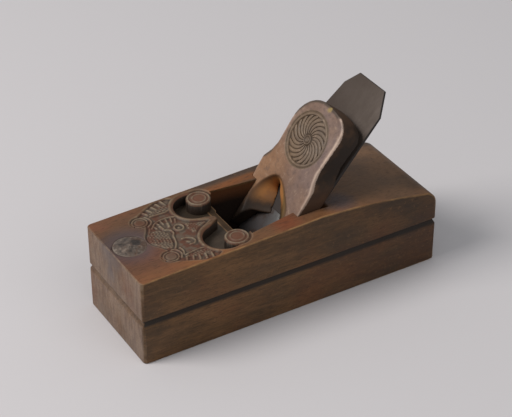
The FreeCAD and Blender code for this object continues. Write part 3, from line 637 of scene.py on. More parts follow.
carving = {
    "depth": 0.9, "pitch": 0.3, "ridge": 0.78, "zone": (-70.4, -20.6), "half": 28.95,
    "groundEdge": (-0.05, 0.5),
    # a scallop, a volute and a small scroll on the far side: place and radius
    "scallop": (-33.5, 15.5, 11.1), "volute": (-28.7, 19.9, 6.5), "scroll": (-64.5, 16.9, 4.4),
    "lipRun": 1.5, "lipDepth": 0.95, "lipRed": (0.2, 0.6),
    "beadGap": 0.55, "beadTurn": (122, 242), "beadEnd": (-33.4, 0.6),
    # a scroll's disc, its cut ring and its worn middle
    "scrollGround": 0.7, "scrollEdge": (0.15, -0.35), "scrollCut": (3.2, 0.36, 0.85),
    "scrollWorn": (3.0, 2.4, 0.16),
    # a volute's eye stands off its middle, then its ring, its eye, its rounded rim and the cut round it
    "eyeShift": (0.25, -0.2), "ringOuter": (5.4, 5.0), "ringInner": (3.75, 4.1), "ringDepth": 0.6,
    "eyeEdge": (3.4, 3.0), "eyeDish": (3.2, 0.22, 0.25), "rimFrom": 5.75, "rimRun": 0.75, "rimDrop": 0.95,
    "besideCut": (0.45, 0.42, 0.85), "voluteClear": 0.6, "discWear": 0.4, "voluteWear": 0.9,
    # lines in millimetres on the far side, which the near side mirrors
    "bow": [(-63.8, 11.6), (-65.9, 7.9), (-68.3, 4.2), (-69.2, 0)], "innerBow": (1.5, 0.86, 0.42, 0.62),
    "leafEdge": [(-65.4, 21.0), (-59.5, 24.4), (-50.6, 28.9), (-44.0, 28.9)],
    "arc": [(-60.2, 20.0), (-58.8, 17.4), (-58.9, 14.8), (-60.2, 12.9), (-61.8, 12.1)],
    "leafBorder": [(-57.2, 19.2), (-52.8, 18.6), (-48.6, 18.5), (-45.8, 19.6)],
    "ribFoot": [(-57.8, 20.8), (-46.0, 24.6)], "ribTip": [(-59.2, 23.6), (-46.8, 28.4)], "ribs": 5,
    # lines that stand only once
    "stem": [(-59.3, -11.8), (-57.2, -8.6), (-56.0, -5.0), (-55.4, -2.2), (-53.9, 0.2), (-54.2, 3.0),
             (-56.4, 4.6)],
    "fan": [(-61.2, 9.4), (-58.4, 12.2), (-54.4, 13.6), (-50.0, 13.5), (-46.8, 12.2)],
    "fanSpokes": [
        [(-60.0, 10.4), (-59.2, 8.0)], [(-57.4, 12.0), (-56.8, 10.2)], [(-54.8, 12.8), (-54.7, 9.6)],
        [(-51.8, 12.7), (-52.2, 10.6)], [(-49.2, 12.4), (-50.2, 9.2)], [(-47.4, 10.8), (-48.6, 8.2)]],
    "drop": [(-52.8, -6.4), (-50.0, -7.2), (-48.0, -9.0), (-47.6, -11.2), (-49.2, -12.9), (-51.2, -12.6)],
    "dropHeart": [(-51.6, -9.6), (-50.6, -10.8)],
    "nearArc": [(-57.3, -12.5), (-56.9, -15.5), (-57.9, -18.3)],
    "lobes": [[(-57.2, 8.8), (-56.8, 5.6)], [(-52.6, 9.0), (-53.3, 6.2)]],
    "eye": (-49.4, 2.9, 2.35),
    "field": [(-67.6, -0.5), (-66.4, 3.6), (-63.4, 6.6), (-59.4, 6.4), (-56.4, 1.5), (-57.2, -3.0),
              (-58.2, -7.6), (-60.2, -10.6), (-63.2, -9.4), (-66.0, -5.6)],
    "leaf": [(-58.0, 20.2), (-52.8, 19.4), (-48.6, 19.3), (-45.0, 20.6), (-44.6, 24.6), (-50.6, 24.2),
             (-57.0, 21.6)],
    "lens": [(-45.4, 4.6), (-40.5, 2.3), (-36.0, 0.6), (-36.0, -0.6), (-40.5, -2.3), (-44.6, -5.2),
             (-46.0, 0)],
    # punched scales: pitch, height between them and at their tops
    "fieldScales": (1.5, 0.25, 0.9), "lensScales": (1.25, 0.25, 0.85), "leafScales": (1.35, 0.1, 0.8),
    # ridge widths and heights that differ from the rest
    "bowWidth": 0.7, "beadWidth": 0.85, "ribWidth": 0.95, "lobeWidth": 1.25, "eyeWidth": 0.8,
    "heart": (0.8, 0.75), "spoke": (0.6, 0.8), "pupil": (1.1, 0.55),
    "cuspLine": [(-36.0, 4.7), (-29.3, 1.2), (-29.3, 0)], "cuspFrom": -37, "cuspWidth": 0.7, "cuspDepth": 0.4,
}


stockPiece = {
    # the straight rise of the top: height at the toe, rise, where the toe is, and the run of the rise
    "toeHeight": 49.6, "rise": 3.1, "toeAt": 88.4, "riseRun": 105.8, "riseEnd": 17.45,
    # the solid's stepped carving, which comes off first: where it lies and how deep it goes
    "carvedFrom": -69.3, "carvedTo": -20, "carvedDepth": 1.1,
    # worn width of the arrises
    "topArris": 1.0, "soleArris": 0.9, "grooveArris": 0.4, "mouthArris": 0.4, "innerArris": 0.15,
    "wander": (0.85, 0.35, 0.03), "outside": (86, 27.6), "upperHalf": 30, "keenEdges": (-47, -21.5, 42),
    "rubbed": (87, 28.4), "grooveZone": (21, 28), "arrisWear": 0.75,
    # how a point's lowness in the carving turns to a pale crest or a dirty hollow
    "contrast": 3.6, "crestFrom": 0.1, "crestMost": 0.88, "hollowFrom": 0.05, "hollowMost": 0.85,
    "redClean": 0.6,
    "inset": 0.99999, "tiny": 0.0008, "smooth": 35,
}


def topHeight(x):
    # the top rises in a straight line from the toe to the crest behind the throat
    return stockPiece["toeHeight"] + stockPiece["rise"] * (x + stockPiece["toeAt"]) / stockPiece["riseRun"]


def mirrorLine(line):
    return [(x, -y) for x, y in line]


def beadLine(look):
    cx, cy, radius = look["scallop"]
    reach = radius + look["lipRun"] + look["beadGap"]
    first, last = look["beadTurn"]
    turns = [math.radians(first + (last - first) * i / 12) for i in range(13)]
    return [(cx + reach * math.cos(t), cy + reach * math.sin(t)) for t in turns] + [look["beadEnd"]]


def groundOutline(look):
    far = smoothLine(look["bow"][::-1]) + [look["scroll"][:2]] + look["leafEdge"] + beadLine(look)
    return [tuple(p) for p in far] + mirrorLine([tuple(p) for p in far[::-1]])


def groundRelief(points, look):
    # ridges and scales over the sunk ground: 1 at the old surface, 0 on the ground
    x, y = points.T
    folded = np.column_stack((x, np.abs(y)))
    height = np.zeros(len(points))

    def ridge(line, both=False, width=look["ridge"], top=1.0, smooth=True):
        line = smoothLine(line) if smooth and len(line) > 2 else line
        away = nearLine(folded if both else points, line)
        np.maximum(height, top * bump(away, width), out=height)

    # hand punches never stand in even rows, so two slow waves bend them by a third of a millimetre
    wavyX = x + 0.34 * np.sin(y * 0.9 + 1.3 * np.sin(x * 0.31)) + 0.16 * np.sin(y * 2.3 + x)
    wavyY = y + 0.3 * np.sin(x * 1.1 + 0.8) + 0.14 * np.sin(x * 2.9 - y)

    def scales(loop, pitch, low, high):
        # overlapping punched scales on a low cushion
        share = step(within(points, [tuple(p) for p in smoothLine(loop + loop[:1])]), -0.1, 0.5)
        row = np.floor(wavyX / pitch)
        px = wavyX / pitch - row
        py = (wavyY / (pitch * 1.15) + 0.5 * (row % 2)) % 1 - 0.5
        dome = np.clip(1 - ((px * 1.05) ** 2 + (py / 0.52) ** 2), 0, 1) ** 0.5
        np.maximum(height, share * (low + (high - low) * dome), out=height)

    scales(look["field"], *look["fieldScales"])
    scales(look["lens"], *look["lensScales"])
    for loop in (look["leaf"], mirrorLine(look["leaf"])[::-1]):
        scales(loop, *look["leafScales"])
    bow = look["bow"] + mirrorLine(look["bow"])[-2::-1]
    ridge(bow, width=look["bowWidth"])
    inset, narrower, width, top = look["innerBow"]
    ridge([(px + inset, py * narrower) for px, py in bow], width=width, top=top)
    ridge(beadLine(look), True, look["beadWidth"], smooth=False)
    for name in ("arc", "leafBorder"):
        ridge(look[name], True)
    for i in range(look["ribs"]):
        t = i / (look["ribs"] - 1)
        feet, tips = np.array(look["ribFoot"]), np.array(look["ribTip"])
        ends = [tuple(line[0] * (1 - t) + line[1] * t) for line in (feet, tips)]
        ridge(ends, True, look["ribWidth"])
    for name in ("stem", "fan", "drop", "nearArc"):
        ridge(look[name])
    ridge(look["dropHeart"], False, *look["heart"])
    for line in look["fanSpokes"]:
        ridge(line, False, *look["spoke"])
    for line in look["lobes"]:
        ridge(line, width=look["lobeWidth"])
    ex, ey, eye = look["eye"]
    fromEye = np.hypot(x - ex, (y - ey) * 0.92)
    width, top = look["pupil"]
    np.maximum(height, bump(np.abs(fromEye - eye), look["eyeWidth"]), out=height)
    np.maximum(height, top * bump(fromEye, width), out=height)
    return height


def toeRelief(points, look):
    # depth under the top, how far inside the carving, and how red each point is
    x, y = points.T
    cx, cy, scroll = look["scroll"]
    sx, sy, scallop = look["scallop"]
    vx, vy, volute = look["volute"]
    fromScroll = np.hypot(x - cx, np.abs(y) - cy)
    fromScallop = np.hypot(x - sx, np.abs(y) - sy)
    fromVolute = np.hypot(x - vx, np.abs(y) - vy)
    inside = np.maximum(within(points, groundOutline(look)), scroll + look["scrollGround"] - fromScroll)
    area = step(inside, *look["groundEdge"])
    height = groundRelief(points, look)

    # small scrolls: a rim, a cut ring and a worn disc
    outer, inner = look["scrollEdge"]
    disc = step(fromScroll, scroll + outer, scroll + inner)
    at, width, cut = look["scrollCut"]
    wornFrom, wornTo, worn = look["scrollWorn"]
    face = 1 - cut * cutRing(fromScroll, at, width) - worn * step(fromScroll, wornFrom, wornTo)
    height = height * (1 - disc) + face * disc
    depth = look["depth"] * area * (1 - height)

    # volutes between scallops and throat: a rim, a sunk ring, a fine ridge and a low eye, a little off centre
    aside, across = look["eyeShift"]
    eccentric = np.hypot(x - vx - aside, np.abs(y) - vy - across)
    sunkRing = step(fromVolute, *look["ringOuter"]) * step(eccentric, *look["ringInner"])
    eyeCup = step(eccentric, *look["eyeEdge"])
    dishRadius, dishLow, dishRise = look["eyeDish"]
    rings = look["ringDepth"] * sunkRing
    rings += eyeCup * (dishLow + dishRise * np.clip(eccentric / dishRadius, 0, 1) ** 2)
    rings += look["rimDrop"] * np.clip((fromVolute - look["rimFrom"]) / look["rimRun"], 0, 1) ** 1.4
    onVolute = fromVolute < volute + 0.05
    at, width, cut = look["besideCut"]
    beside = cut * cutRing(fromVolute, volute + at, width)
    depth = np.where(onVolute, np.maximum(rings, 0), np.maximum(depth, beside * (fromVolute > volute)))

    # hollow lip round each scallop, and the eased point of the cusp
    lip = np.clip((scallop + look["lipRun"] - fromScallop) / look["lipRun"], 0, 1) ** 1.2
    clear = step(fromVolute, volute, volute + look["voluteClear"])
    depth = np.where(onVolute, depth, np.maximum(depth, look["lipDepth"] * lip * clear))
    point = nearLine(np.column_stack((x, np.abs(y))), look["cuspLine"])
    eased = np.maximum(depth, look["cuspDepth"] * step(point, look["cuspWidth"], 0))
    depth = np.where(x < look["cuspFrom"], depth, eased)
    red = np.where(onVolute, np.maximum(sunkRing * 0.45, eyeCup * 0.95), step(lip, *look["lipRed"]) * clear)
    patina = area * (1 - step(disc, 0.3, 1) * look["discWear"])
    return depth, np.maximum(patina, onVolute * look["voluteWear"]), red


def carvedSurface(points, look):
    # as toeRelief, softened, and with how much lower than its surroundings each point lies
    pitch = look["pitch"]
    xs = np.arange(look["zone"][0] - 2, look["zone"][1] + 2, pitch)
    ys = np.arange(-look["half"] - 2, look["half"] + 2, pitch)
    grid = np.stack(np.meshgrid(xs, ys, indexing="ij"), -1).reshape(-1, 2)
    whole, area, red = (part.reshape(len(xs), len(ys)) for part in toeRelief(grid, look))
    # years of thumbs have softened every cut
    for axis in (0, 1):
        whole = (np.roll(whole, 1, axis) + 4 * whole + np.roll(whole, -1, axis)) / 6
    around = whole
    for axis in (0, 1):
        around = sum(np.roll(around, k, axis) for k in range(-3, 4)) / 7
    at = (points - [xs[0], ys[0]]) / pitch
    row, col = (np.clip(at[:, k].astype(int), 0, n - 2) for k, n in ((0, len(xs)), (1, len(ys))))
    fx, fy = at[:, 0] - row, at[:, 1] - col

    def sample(values):
        low = values[row, col] * (1 - fx) + values[row + 1, col] * fx
        high = values[row, col + 1] * (1 - fx) + values[row + 1, col + 1] * fx
        return low * (1 - fy) + high * fy

    return sample(whole), sample(area), sample(red), sample(whole - around)


def plainStock(look):
    # the CAD block with its stepped carving taken off, so that the finer one can be cut
    bm = copyOf("stock", 0.01)

    def sunk(v):
        return topHeight(v.co.x) - v.co.z

    def inZone(v):
        return look["carvedFrom"] < v.co.x < look["carvedTo"]

    def shallow(face):
        if any(v.co.x > look["riseEnd"] for v in face.verts):
            return False
        if all(abs(sunk(v)) < 0.02 for v in face.verts):
            return True
        return all(sunk(v) < look["carvedDepth"] and inZone(v) for v in face.verts)

    bmesh.ops.delete(bm, geom=[f for f in bm.faces if shallow(f)], context="FACES")
    for v in bm.verts:
        if inZone(v) and 0 < sunk(v) < look["carvedDepth"]:
            v.co.z = topHeight(v.co.x)
    bmesh.ops.remove_doubles(bm, verts=bm.verts, dist=0.02)
    rim = [e for e in bm.edges if len(e.link_faces) == 1]
    bmesh.ops.triangle_fill(bm, use_beauty=True, use_dissolve=False, edges=rim, normal=(0, 0, 1))
    bmesh.ops.dissolve_limit(bm, angle_limit=math.radians(1.2), verts=bm.verts, edges=bm.edges)
    return bm


def makeStock(look, carvingLook):
    bm = plainStock(look)
    print("  open edges", sum(len(e.link_faces) != 2 for e in bm.edges))

    def widthAt(middle):
        x, y, z = middle
        base, sway, pace = look["wander"]
        wander = base + sway * noise.noise(Vector((x, y, z)) * pace)
        endAt, sideAt = look["outside"]
        keenFrom, keenTo, keenAbove = look["keenEdges"]
        if abs(y) > sideAt or abs(x) > endAt:
            if z > look["upperHalf"]:
                return look["topArris"] * wander
            return look["soleArris"] * wander if z < 1 else look["grooveArris"]
        if keenFrom < x < keenTo and z > keenAbove:
            return 0
        return look["mouthArris"] if z > look["upperHalf"] else look["innerArris"]

    bm = roundArrises(bm, widthAt, "stockBody")
    wear, hollow, patina, crest, lip = addLayers(bm, "wear", "hollow", "carved", "crest", "lip")
    slope = math.atan2(look["rise"], look["riseRun"])
    up = Vector((-math.sin(slope), 0, math.cos(slope)))

    def onTop(face):
        middle = face.calc_center_median()
        return face.normal.dot(up) > 0.9995 and abs(topHeight(middle.x) - middle.z) < 0.03 and middle.x < 20

    half = carvingLook["half"]
    spans = (carvingLook["zone"], (-half, half))
    area = gridOver(bm, onTop, (Vector((1, 0, 0)), Vector((0, 1, 0))), spans, carvingLook["pitch"])
    verts = list({v for f in area for v in f.verts})
    print("  carved faces", len(area), "points", len(verts))
    points = np.array([(v.co.x, v.co.y) for v in verts])
    depth, carved, red, pit = carvedSurface(points, carvingLook)
    bm.normal_update()
    endAt, sideAt = look["rubbed"]
    grooveLow, grooveHigh = look["grooveZone"]
    for v in bm.verts:
        x, y, z = v.co
        outside = abs(y) > sideAt or abs(x) > endAt
        tilted = max(abs(c) for c in v.normal) < 0.95
        if outside and tilted and (abs(v.normal.y) > 0.25 or x < 0) and not grooveLow < z < grooveHigh:
            v[wear] = look["arrisWear"]
    for v, d, c, r, p in zip(verts, depth, carved, red, pit):
        lowness = float(p) * look["contrast"]
        v.co.z -= d
        v[patina] = float(c)
        v[crest] = min(look["crestMost"], max(0, -look["crestFrom"] - lowness))
        dirty = min(look["hollowMost"], max(0, lowness - look["hollowFrom"]))
        v[hollow] = dirty * (1 - look["redClean"] * float(r))
        v[lip] = float(r) * (1 - v[crest])
    for v in bm.verts:
        # a hair inside the CAD block, whatever the rounding
        v.co.x *= look["inset"]
        v.co.y *= look["inset"]
    bmesh.ops.dissolve_degenerate(bm, dist=look["tiny"], edges=bm.edges)
    return bm


print("stock")
stockMesh = makeStock(stockPiece, carving)
stock = finishPiece(stockMesh, "stockBody", stockWood, "stock", "stock", stockPiece["smooth"])
print("  faces", len(stock.data.polygons))


# Wedge: worn soft all round, with the rosette cut into its face

wedgePiece = {
    "faceAngle": 56.0, "facePoint": (5.81, 0, 52.7), "voxel": 0.42,
    "headFrom": 4, "headWear": 14, "bodyWear": 5, "onFace": 0.25,
    "fineReach": 15.8, "rosetteReach": 15.7, "rosetteUp": 33.3,
    # the rosette: cut ring, flat border, dish, and the hub with its ring and dot
    "ringOut": 14.9, "ringCut": (0.4, 0.6), "ringIn": 13.5, "dish": 1.15, "dishEdge": 0.6,
    "hub": 3.0, "hubEdge": 0.5, "hubLow": 0.2, "hubRing": (1.7, 0.36, 0.6), "hubDot": (0, 0.4, 0.35),
    "petals": 20, "petalSweep": 0.85, "petalHalfWidth": 1.38, "petalFlatness": 0.52, "petalSink": 0.1,
    "petalPoints": 17, "petalSides": 12, "petalSwell": 1.35, "petalLeast": 0.1,
    "dirtDepth": 1.1, "hubDirtDepth": 0.8,
    # the dark rim over the crown, and the rubbed arris of the near side, which is partly a painted highlight
    "arrisFacing": (0.3, 0.95), "arrisLift": -2.2, "rimCrown": 0.22, "rimFrom": -13, "rimShare": 0.9,
    "rubAndHighlightCrown": -0.3, "middle": 1.5, "farRubAndHighlight": 0.35, "rubAndHighlightRounds": 1, "rimRounds": 3, "softRounds": 5,
    "spreadLoss": 0.95, "softGain": 1.7,
}


def rosetteDepth(r, look):
    # a cut ring, a flat border, the dish that holds the petals, and the hub with its ring and dot
    width, deep = look["ringCut"]
    cut = deep * cutRing(r, look["ringOut"], width)
    dish = look["dish"] * step(r, look["ringIn"], look["ringIn"] - look["dishEdge"])
    hub = step(r, look["hub"], look["hub"] - look["hubEdge"])
    boss = look["hubLow"]
    for at, width, deep in (look["hubRing"], look["hubDot"]):
        boss = boss + deep * cutRing(r, at, width)
    return np.maximum(cut, dish * (1 - hub) + hub * boss)


def wedgeFrame(look):
    # the middle of the rosette, up the face, out of the face, and a point on the face
    angle = math.radians(look["faceAngle"])
    up = Vector((math.cos(angle), 0, math.sin(angle)))
    out = Vector((-math.sin(angle), 0, math.cos(angle)))
    foot = Vector(look["facePoint"])
    return foot + up * look["rosetteUp"], up, out, foot


def makeWedge(look):
    centre, up, out, foot = wedgeFrame(look)
    mesh = bpy.data.meshes.new("wedgePlain")
    plain = copyOf("wedge", 0.01, 0.1)
    bmesh.ops.triangulate(plain, faces=plain.faces)
    plain.to_mesh(mesh)
    plain.free()
    holder = addObject("wedgePlain", mesh)
    remesh = holder.modifiers.new("Even", "REMESH")
    remesh.mode = "VOXEL"
    remesh.voxel_size = look["voxel"]
    bm = bmesh.new()
    bm.from_mesh(evaluated(holder))
    wear, hollow, carved, rim = addLayers(bm, "wear", "hollow", "carved", "rim")
    head = [v for v in bm.verts if (v.co - foot).dot(up) > look["headFrom"]]
    for i in range(look["headWear"]):
        worn = head if i >= look["bodyWear"] else bm.verts
        bmesh.ops.smooth_vert(bm, verts=worn, factor=0.5, use_axis_x=True, use_axis_y=True, use_axis_z=True)

    def awayFromHub(co):
        d = co - centre
        return math.hypot(d.dot(up), d.y)

    def liftOf(v):
        return (v.co - foot).dot(out)

    def inRosette(v, reach):
        return abs(liftOf(v)) < look["onFace"] and awayFromHub(v.co) < reach

    near = [e for e in bm.edges if all(inRosette(v, look["fineReach"]) for v in e.verts)]
    bmesh.ops.subdivide_edges(bm, edges=near, cuts=1, use_grid_fill=True)
    bm.normal_update()
    lowFacing, highFacing = look["arrisFacing"]
    for v in bm.verts:
        if inRosette(v, look["rosetteReach"]):
            r = awayFromHub(v.co)
            depth = float(rosetteDepth(np.array(r), look))
            v.co -= out * depth
            v[hollow] = min(1, depth / (look["dirtDepth"] if r > look["hub"] else look["hubDirtDepth"]))
            v[carved] = 1
            continue
        rise = (v.co - foot).dot(up)
        # the arris is rubbed pale and painted as a highlight, full on the near side and weaker on the far
        # side
        if liftOf(v) > look["arrisLift"] and rise > -1 and lowFacing < v.normal.dot(out) < highFacing:
            crown = v.normal.dot(up)
            away = v.normal.y * (v.co.y - look["middle"]) > 0 and crown > look["rubAndHighlightCrown"]
            if crown > look["rimCrown"] and v.co.y > look["rimFrom"]:
                v[rim] = look["rimShare"]
            elif away:
                v[wear] = 1.0 if v.normal.y < 0 else look["farRubAndHighlight"]
    # the dark rim and the rubbed arris with its painted highlight reach a little way over the face, and fade
    # out there
    for layer, turns in ((wear, look["rubAndHighlightRounds"]), (rim, look["rimRounds"])):
        for turn in range(turns):
            beside = [max(e.other_vert(v)[layer] for e in v.link_edges) for v in bm.verts]
            for v, value in zip(bm.verts, beside):
                v[layer] = max(v[layer], look["spreadLoss"] * value)
    onFront = [v for v in bm.verts if v.normal.dot(out) > lowFacing]
    for layer in (wear, rim):
        for turn in range(look["softRounds"]):
            total = [v[layer] * 2 + sum(e.other_vert(v)[layer] for e in v.link_edges) for v in onFront]
            for v, value in zip(onFront, total):
                v[layer] = value / (2 + len(v.link_edges))
        for v in bm.verts:
            v[layer] = min(1, look["softGain"] * v[layer])
    print("  wedge faces", len(bm.faces))
    return bm


def petalTree(material, look):
    # one curved gouge ridge, turned round the hub as often as asked
    tree = bpy.data.node_groups.new("rosettePetals", "GeometryNodeTree")
    rimRadius = look["ringIn"] - look["petalSink"]
    sizes = {
        "Count": look["petals"], "Hub Radius": look["hub"] * mm, "Rim Radius": rimRadius * mm,
        "Half Width": look["petalHalfWidth"] * mm, "Flatness": look["petalFlatness"],
        "Sweep": look["petalSweep"],
    }
    for name, value in sizes.items():
        kind = "NodeSocketInt" if isinstance(value, int) else "NodeSocketFloat"
        tree.interface.new_socket(name, in_out="INPUT", socket_type=kind).default_value = value
    tree.interface.new_socket("Geometry", in_out="OUTPUT", socket_type="NodeSocketGeometry")
    add = partial(addNode, tree)
    given = add("given")
    points = add("resampled", add("line", (0, 0, 0), (1, 0, 0)), look["petalPoints"])
    share = add("share")
    # radius grows from hub to rim while the angle bends, most near the rim
    span = add("minus", given["Rim Radius"], given["Hub Radius"])
    radius = add("plus", given["Hub Radius"], add("times", span, share))
    angle = add("times", add("times", given["Sweep"], add("power", share, 1.5)), -1.0)
    px, py = (add("times", radius, add(wave, angle)) for wave in ("cosine", "sine"))
    place = add("joined", px, py)
    # thin at the hub, full near the rim, closed round at both ends
    rest = add("power", add("minus", 1.02, share), 0.35)
    swell = add("times", add("power", share, 0.55), rest)
    wide = add("most", add("times", swell, look["petalSwell"]), look["petalLeast"])
    profile = add("circle", look["petalSides"], given["Half Width"])
    swept = add("swept", add("moved", points, place), profile, wide, True)
    petal = add("flattened", swept, add("joined", 1.0, 1.0, given["Flatness"]))
    turn = add("times", add("over", add("index"), given["Count"]), 2 * math.pi)
    copies = add("copies", add("seeds", given["Count"], (0, 0, 0)), petal, add("joined", None, None, turn))
    add("result", add("dressed", add("real", copies), material))
    return tree


def makePetals(look):
    centre, up, out, foot = wedgeFrame(look)
    holder = addObject("petalHolder", bpy.data.meshes.new("petalHolder"))
    tree = petalTree(wedgeWood, look)
    ids = {i.name: i.identifier for i in tree.interface.items_tree if i.in_out == "INPUT"}
    maker = holder.modifiers.new("Petals", "NODES")
    maker.node_group = tree
    maker[ids["Count"]] = look["petals"]
    mesh = evaluated(holder)
    side = up.cross(out)
    sunk = (centre - out * (look["dish"] - look["petalSink"])) * mm
    mesh.transform(placedBy(side, up, out, sunk))
    bm = bmesh.new()
    bm.from_mesh(mesh)
    bmesh.ops.remove_doubles(bm, verts=bm.verts, dist=1e-6)
    bmesh.ops.recalc_face_normals(bm, faces=bm.faces)
    bmesh.ops.scale(bm, vec=(1000, 1000, 1000), verts=bm.verts)
    carved, = addLayers(bm, "carved")
    for v in bm.verts:
        v[carved] = 1
    return bm


print("wedge")
finishPiece(makeWedge(wedgePiece), "wedgeBody", wedgeWood, "wedge", "wedge", 180)
finishPiece(makePetals(wedgePiece), "rosettePetals", wedgeWood, "wedge", None, 180)


# Iron, cutting steel and button

ironPiece = {
    "bedAngle": 49, "foot": (-25.5, 0, 0), "arris": 0.4, "lowArris": 0.15, "sight": 45,
    # far upper corner: how far up the iron and across it the cut begins and ends
    "cornerTop": (126.4, 16.95), "cornerSide": (114.3, 19.15),
    # the back thins by this much between two places up the iron
    "backAt": -1.8, "thinBy": 1.6, "thinFrom": 20, "thinTo": 110,
    # the near edge stands out a little from two places up
    "nearTip": (130, 1.1), "nearMiddle": (60, 0.3), "edgeFacing": 0.93,
}


def makeIron(look):
    bm = copyOf("iron", 0.03, 1.2)
    turn = math.radians(look["bedAngle"])
    along = Vector((math.cos(turn), 0, math.sin(turn)))
    face = Vector((-math.sin(turn), 0, math.cos(turn)))
    foot = Vector(look["foot"])
    ends = (look["cornerTop"], look["cornerSide"])
    corner, end = (foot + along * rise + Vector((0, across, 0)) for rise, across in ends)
    outward = (end - corner).cross(face).normalized()
    outward *= 1 if outward.y > 0 else -1
    whole = bm.verts[:] + bm.edges[:] + bm.faces[:]
    cut = bmesh.ops.bisect_plane(bm, geom=whole, plane_co=corner, plane_no=outward, clear_outer=True)
    bmesh.ops.contextual_create(bm, geom=[g for g in cut["geom_cut"] if isinstance(g, bmesh.types.BMEdge)])
    tipFrom, tipOut = look["nearTip"]
    middleFrom, middleOut = look["nearMiddle"]
    for v in bm.verts:
        rise = (v.co - foot).dot(along)
        if (v.co - foot).dot(face) < look["backAt"]:
            v.co += face * look["thinBy"] * step(rise, look["thinFrom"], look["thinTo"])
        if rise > tipFrom and v.co.y < 0:
            v.co.y -= tipOut
        elif rise > middleFrom and v.co.y < 0:
            v.co.y -= middleOut
    bmesh.ops.recalc_face_normals(bm, faces=bm.faces)

    def widthAt(middle):
        return look["arris"] if middle.z > look["sight"] else look["lowArris"]

    bm = roundArrises(bm, widthAt, "ironBlade")
    wear, = addLayers(bm, "wear")
    bm.normal_update()
    for v in bm.verts:
        v[wear] = 1 if abs(v.normal.dot(face)) < look["edgeFacing"] else 0
    return bm


buttonPiece = {
    "centre": (-78.2, 1.5), "radius": 8.7, "rings": 30, "turns": 120,
    # dents: place across the dome, size, depth
    "dents": [(-3.0, 2.4, 3.6, 0.3), (3.9, 0.4, 3.6, 0.7), (0.4, 5.0, 2.6, 0.25), (-1.6, -4.8, 2.6, 0.25)],
    # small hammer marks over the whole dome, and a least sinking that keeps it under the CAD dome
    "markPace": 0.55, "markDepth": 0.22, "least": 0.03, "flatRim": (1.0, 0.88), "rimWear": (0.93, 0.3),
    "hollow": (0.16, 0.3), "wear": (0.1, 0.16, 0.8),
}


def turnedStud(look):
    # the CAD stud turned again with finer rings on its dome, and the height where the dome begins
    plain = copyOf("strike_button", 0.01, 0.3)
    cx, cy = look["centre"]
    rim = look["radius"]
    places = [(math.hypot(v.co.x - cx, v.co.y - cy), v.co.z) for v in plain.verts]
    plain.free()
    outer = [z for r, z in places if r > rim - 0.1]
    bottom = min(z for r, z in places)
    crown = max(z for r, z in places)
    shank = max(r for r, z in places if z < bottom + 0.01)
    rise = crown - max(outer)
    ball = (rim ** 2 + rise ** 2) / (2 * rise)
    dome = [rim * (1 - i / look["rings"]) for i in range(look["rings"])]
    profile = [(shank, bottom), (shank, min(outer)), (rim, min(outer))]
    profile += [(r, crown - ball + math.sqrt(ball ** 2 - r ** 2)) for r in dome]
    bm = bmesh.new()
    count = look["turns"]
    turns = [2 * math.pi * k / count for k in range(count)]
    rings = []
    for r, z in profile:
        rings.append([bm.verts.new((cx + r * math.cos(t), cy + r * math.sin(t), z)) for t in turns])
    for inner, outside in zip(rings[:-1], rings[1:]):
        for k in range(count):
            j = (k + 1) % count
            bm.faces.new((inner[k], inner[j], outside[j], outside[k]))
    for ring, z in ((rings[0], bottom), (rings[-1], crown)):
        hub = bm.verts.new((cx, cy, z))
        for k in range(count):
            j = (k + 1) % count
            bm.faces.new((ring[j], ring[k], hub) if z == bottom else (ring[k], ring[j], hub))
    bmesh.ops.recalc_face_normals(bm, faces=bm.faces)
    return bm, max(outer)


def makeButton(look):
    # the dome is beaten by years of taps
    bm, domeFrom = turnedStud(look)
    wear, hollow = addLayers(bm, "wear", "hollow")
    cx, cy = look["centre"]
    rimFrom, rimShare = look["rimWear"]
    hollowFrom, hollowRun = look["hollow"]
    wearFrom, wearRun, wearShare = look["wear"]
    for v in bm.verts:
        if v.co.z < domeFrom + 0.02:
            continue
        px, py = v.co.x - cx, v.co.y - cy
        dip = 0
        for dx, dy, size, depth in look["dents"]:
            r = math.hypot(px - dx, py - dy) / size
            dip = max(dip, depth * (1 - r * r) ** 1.5) if r < 1 else dip
        marks = noise.fractal(Vector((px, py, 3.7)) * look["markPace"], 0.9, 2.0, 4)
        edge = math.hypot(px, py) / look["radius"]
        low = dip + look["markDepth"] * (0.5 - marks)
        v.co.z -= max(look["least"], low) * step(edge, *look["flatRim"]) + look["least"]
        v[hollow] = min(1, max(0, (low - hollowFrom) / hollowRun))
        v[wear] = min(1, max(0, (wearFrom - low) / wearRun)) * wearShare + (rimShare if edge > rimFrom else 0)
    return bm


print("iron, steel and button")
finishPiece(makeIron(ironPiece), "ironBlade", forgedIron, "iron", "iron", 30)
buttonMesh = makeButton(buttonPiece)
finishPiece(buttonMesh, "beatenButton", buttonIron, "stock", "strike_button", 50)
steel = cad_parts["cutting_steel"]
steel.data.materials.clear()
steel.data.materials.append(groundSteel)


# Floor, light and camera, in metres and degrees

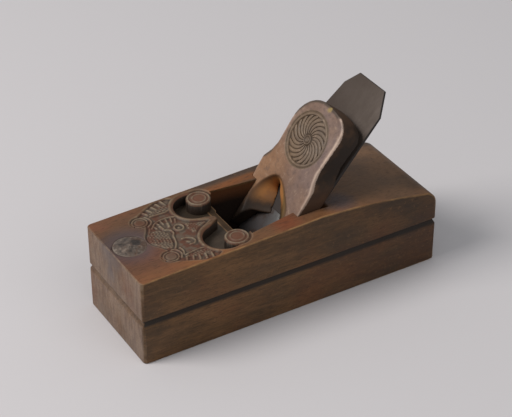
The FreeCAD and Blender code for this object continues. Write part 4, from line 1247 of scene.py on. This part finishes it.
studio = {
    "floor": "#c8c6ca", "floorSize": 3.0, "floorRoughness": 0.9, "floorSpecular": 0.1,
    "camera": (-0.37754, -0.62715, 0.54484), "azimuth": -30.66, "elevation": 34.27, "roll": -0.27,
    "lens": 120.23,
    "aim": (0, 0, 0.03), "sky": "#e9ebec", "skyStrength": 0.46,
    # lamps: place, size, watts, colour
    "lamps": {
        "keyLamp": ((-1.3, 0.35, 1.5), 1.0, 31, "#fffaf4"),
        "fillLamp": ((0.3, -1.6, 1.3), 1.6, 7, "#fffdf8"),
    },
}


def makeFloor(look):
    bm = bmesh.new()
    bmesh.ops.create_grid(bm, x_segments=1, y_segments=1, size=look["floorSize"])
    mesh = bpy.data.meshes.new("floor")
    bm.to_mesh(mesh)
    bm.free()
    floor = addObject("floor", mesh)
    # matt paper sweep: one even pale grey with no shine
    made, add = startMaterial("paperSweep")
    add("output", add("surface", look["floor"], look["floorRoughness"], 0.0, look["floorSpecular"]))
    mesh.materials.append(made)


def makeLights(look):
    for name, (place, size, watts, color) in look["lamps"].items():
        data = bpy.data.lights.new(name, "AREA")
        data.shape = "DISK"
        data.size = size
        data.energy = watts
        data.color = hexColor(color)[:3]
        lamp = addObject(name, data)
        lamp.location = place
        lamp.rotation_euler = (Vector(look["aim"]) - Vector(place)).to_track_quat("-Z", "Y").to_euler()
    world = bpy.data.worlds.new("studioWorld")
    world.use_nodes = True
    world.node_tree.nodes.clear()
    add = partial(addNode, world.node_tree)
    add("skyOutput", add("sky", look["sky"], look["skyStrength"]))
    bpy.context.scene.world = world


def makeCamera(look):
    yaw, pitch, roll = (math.radians(look[k]) for k in ("azimuth", "elevation", "roll"))
    back = Vector((math.sin(yaw) * math.cos(pitch), -math.cos(yaw) * math.cos(pitch), math.sin(pitch)))
    right = Vector((math.cos(yaw), math.sin(yaw), 0))
    up = back.cross(right)
    turnedRight = right * math.cos(roll) + up * math.sin(roll)
    turnedUp = up * math.cos(roll) - right * math.sin(roll)
    data = bpy.data.cameras.new("camera")
    data.lens = look["lens"]
    data.sensor_width = 36
    data.clip_start = 0.01
    camera = addObject("camera", data)
    camera.matrix_world = placedBy(turnedRight, turnedUp, back, Vector(look["camera"]))
    bpy.context.scene.camera = camera


print("studio")
makeFloor(studio)
makeLights(studio)
makeCamera(studio)
bpy.context.scene.view_settings.view_transform = "Standard"
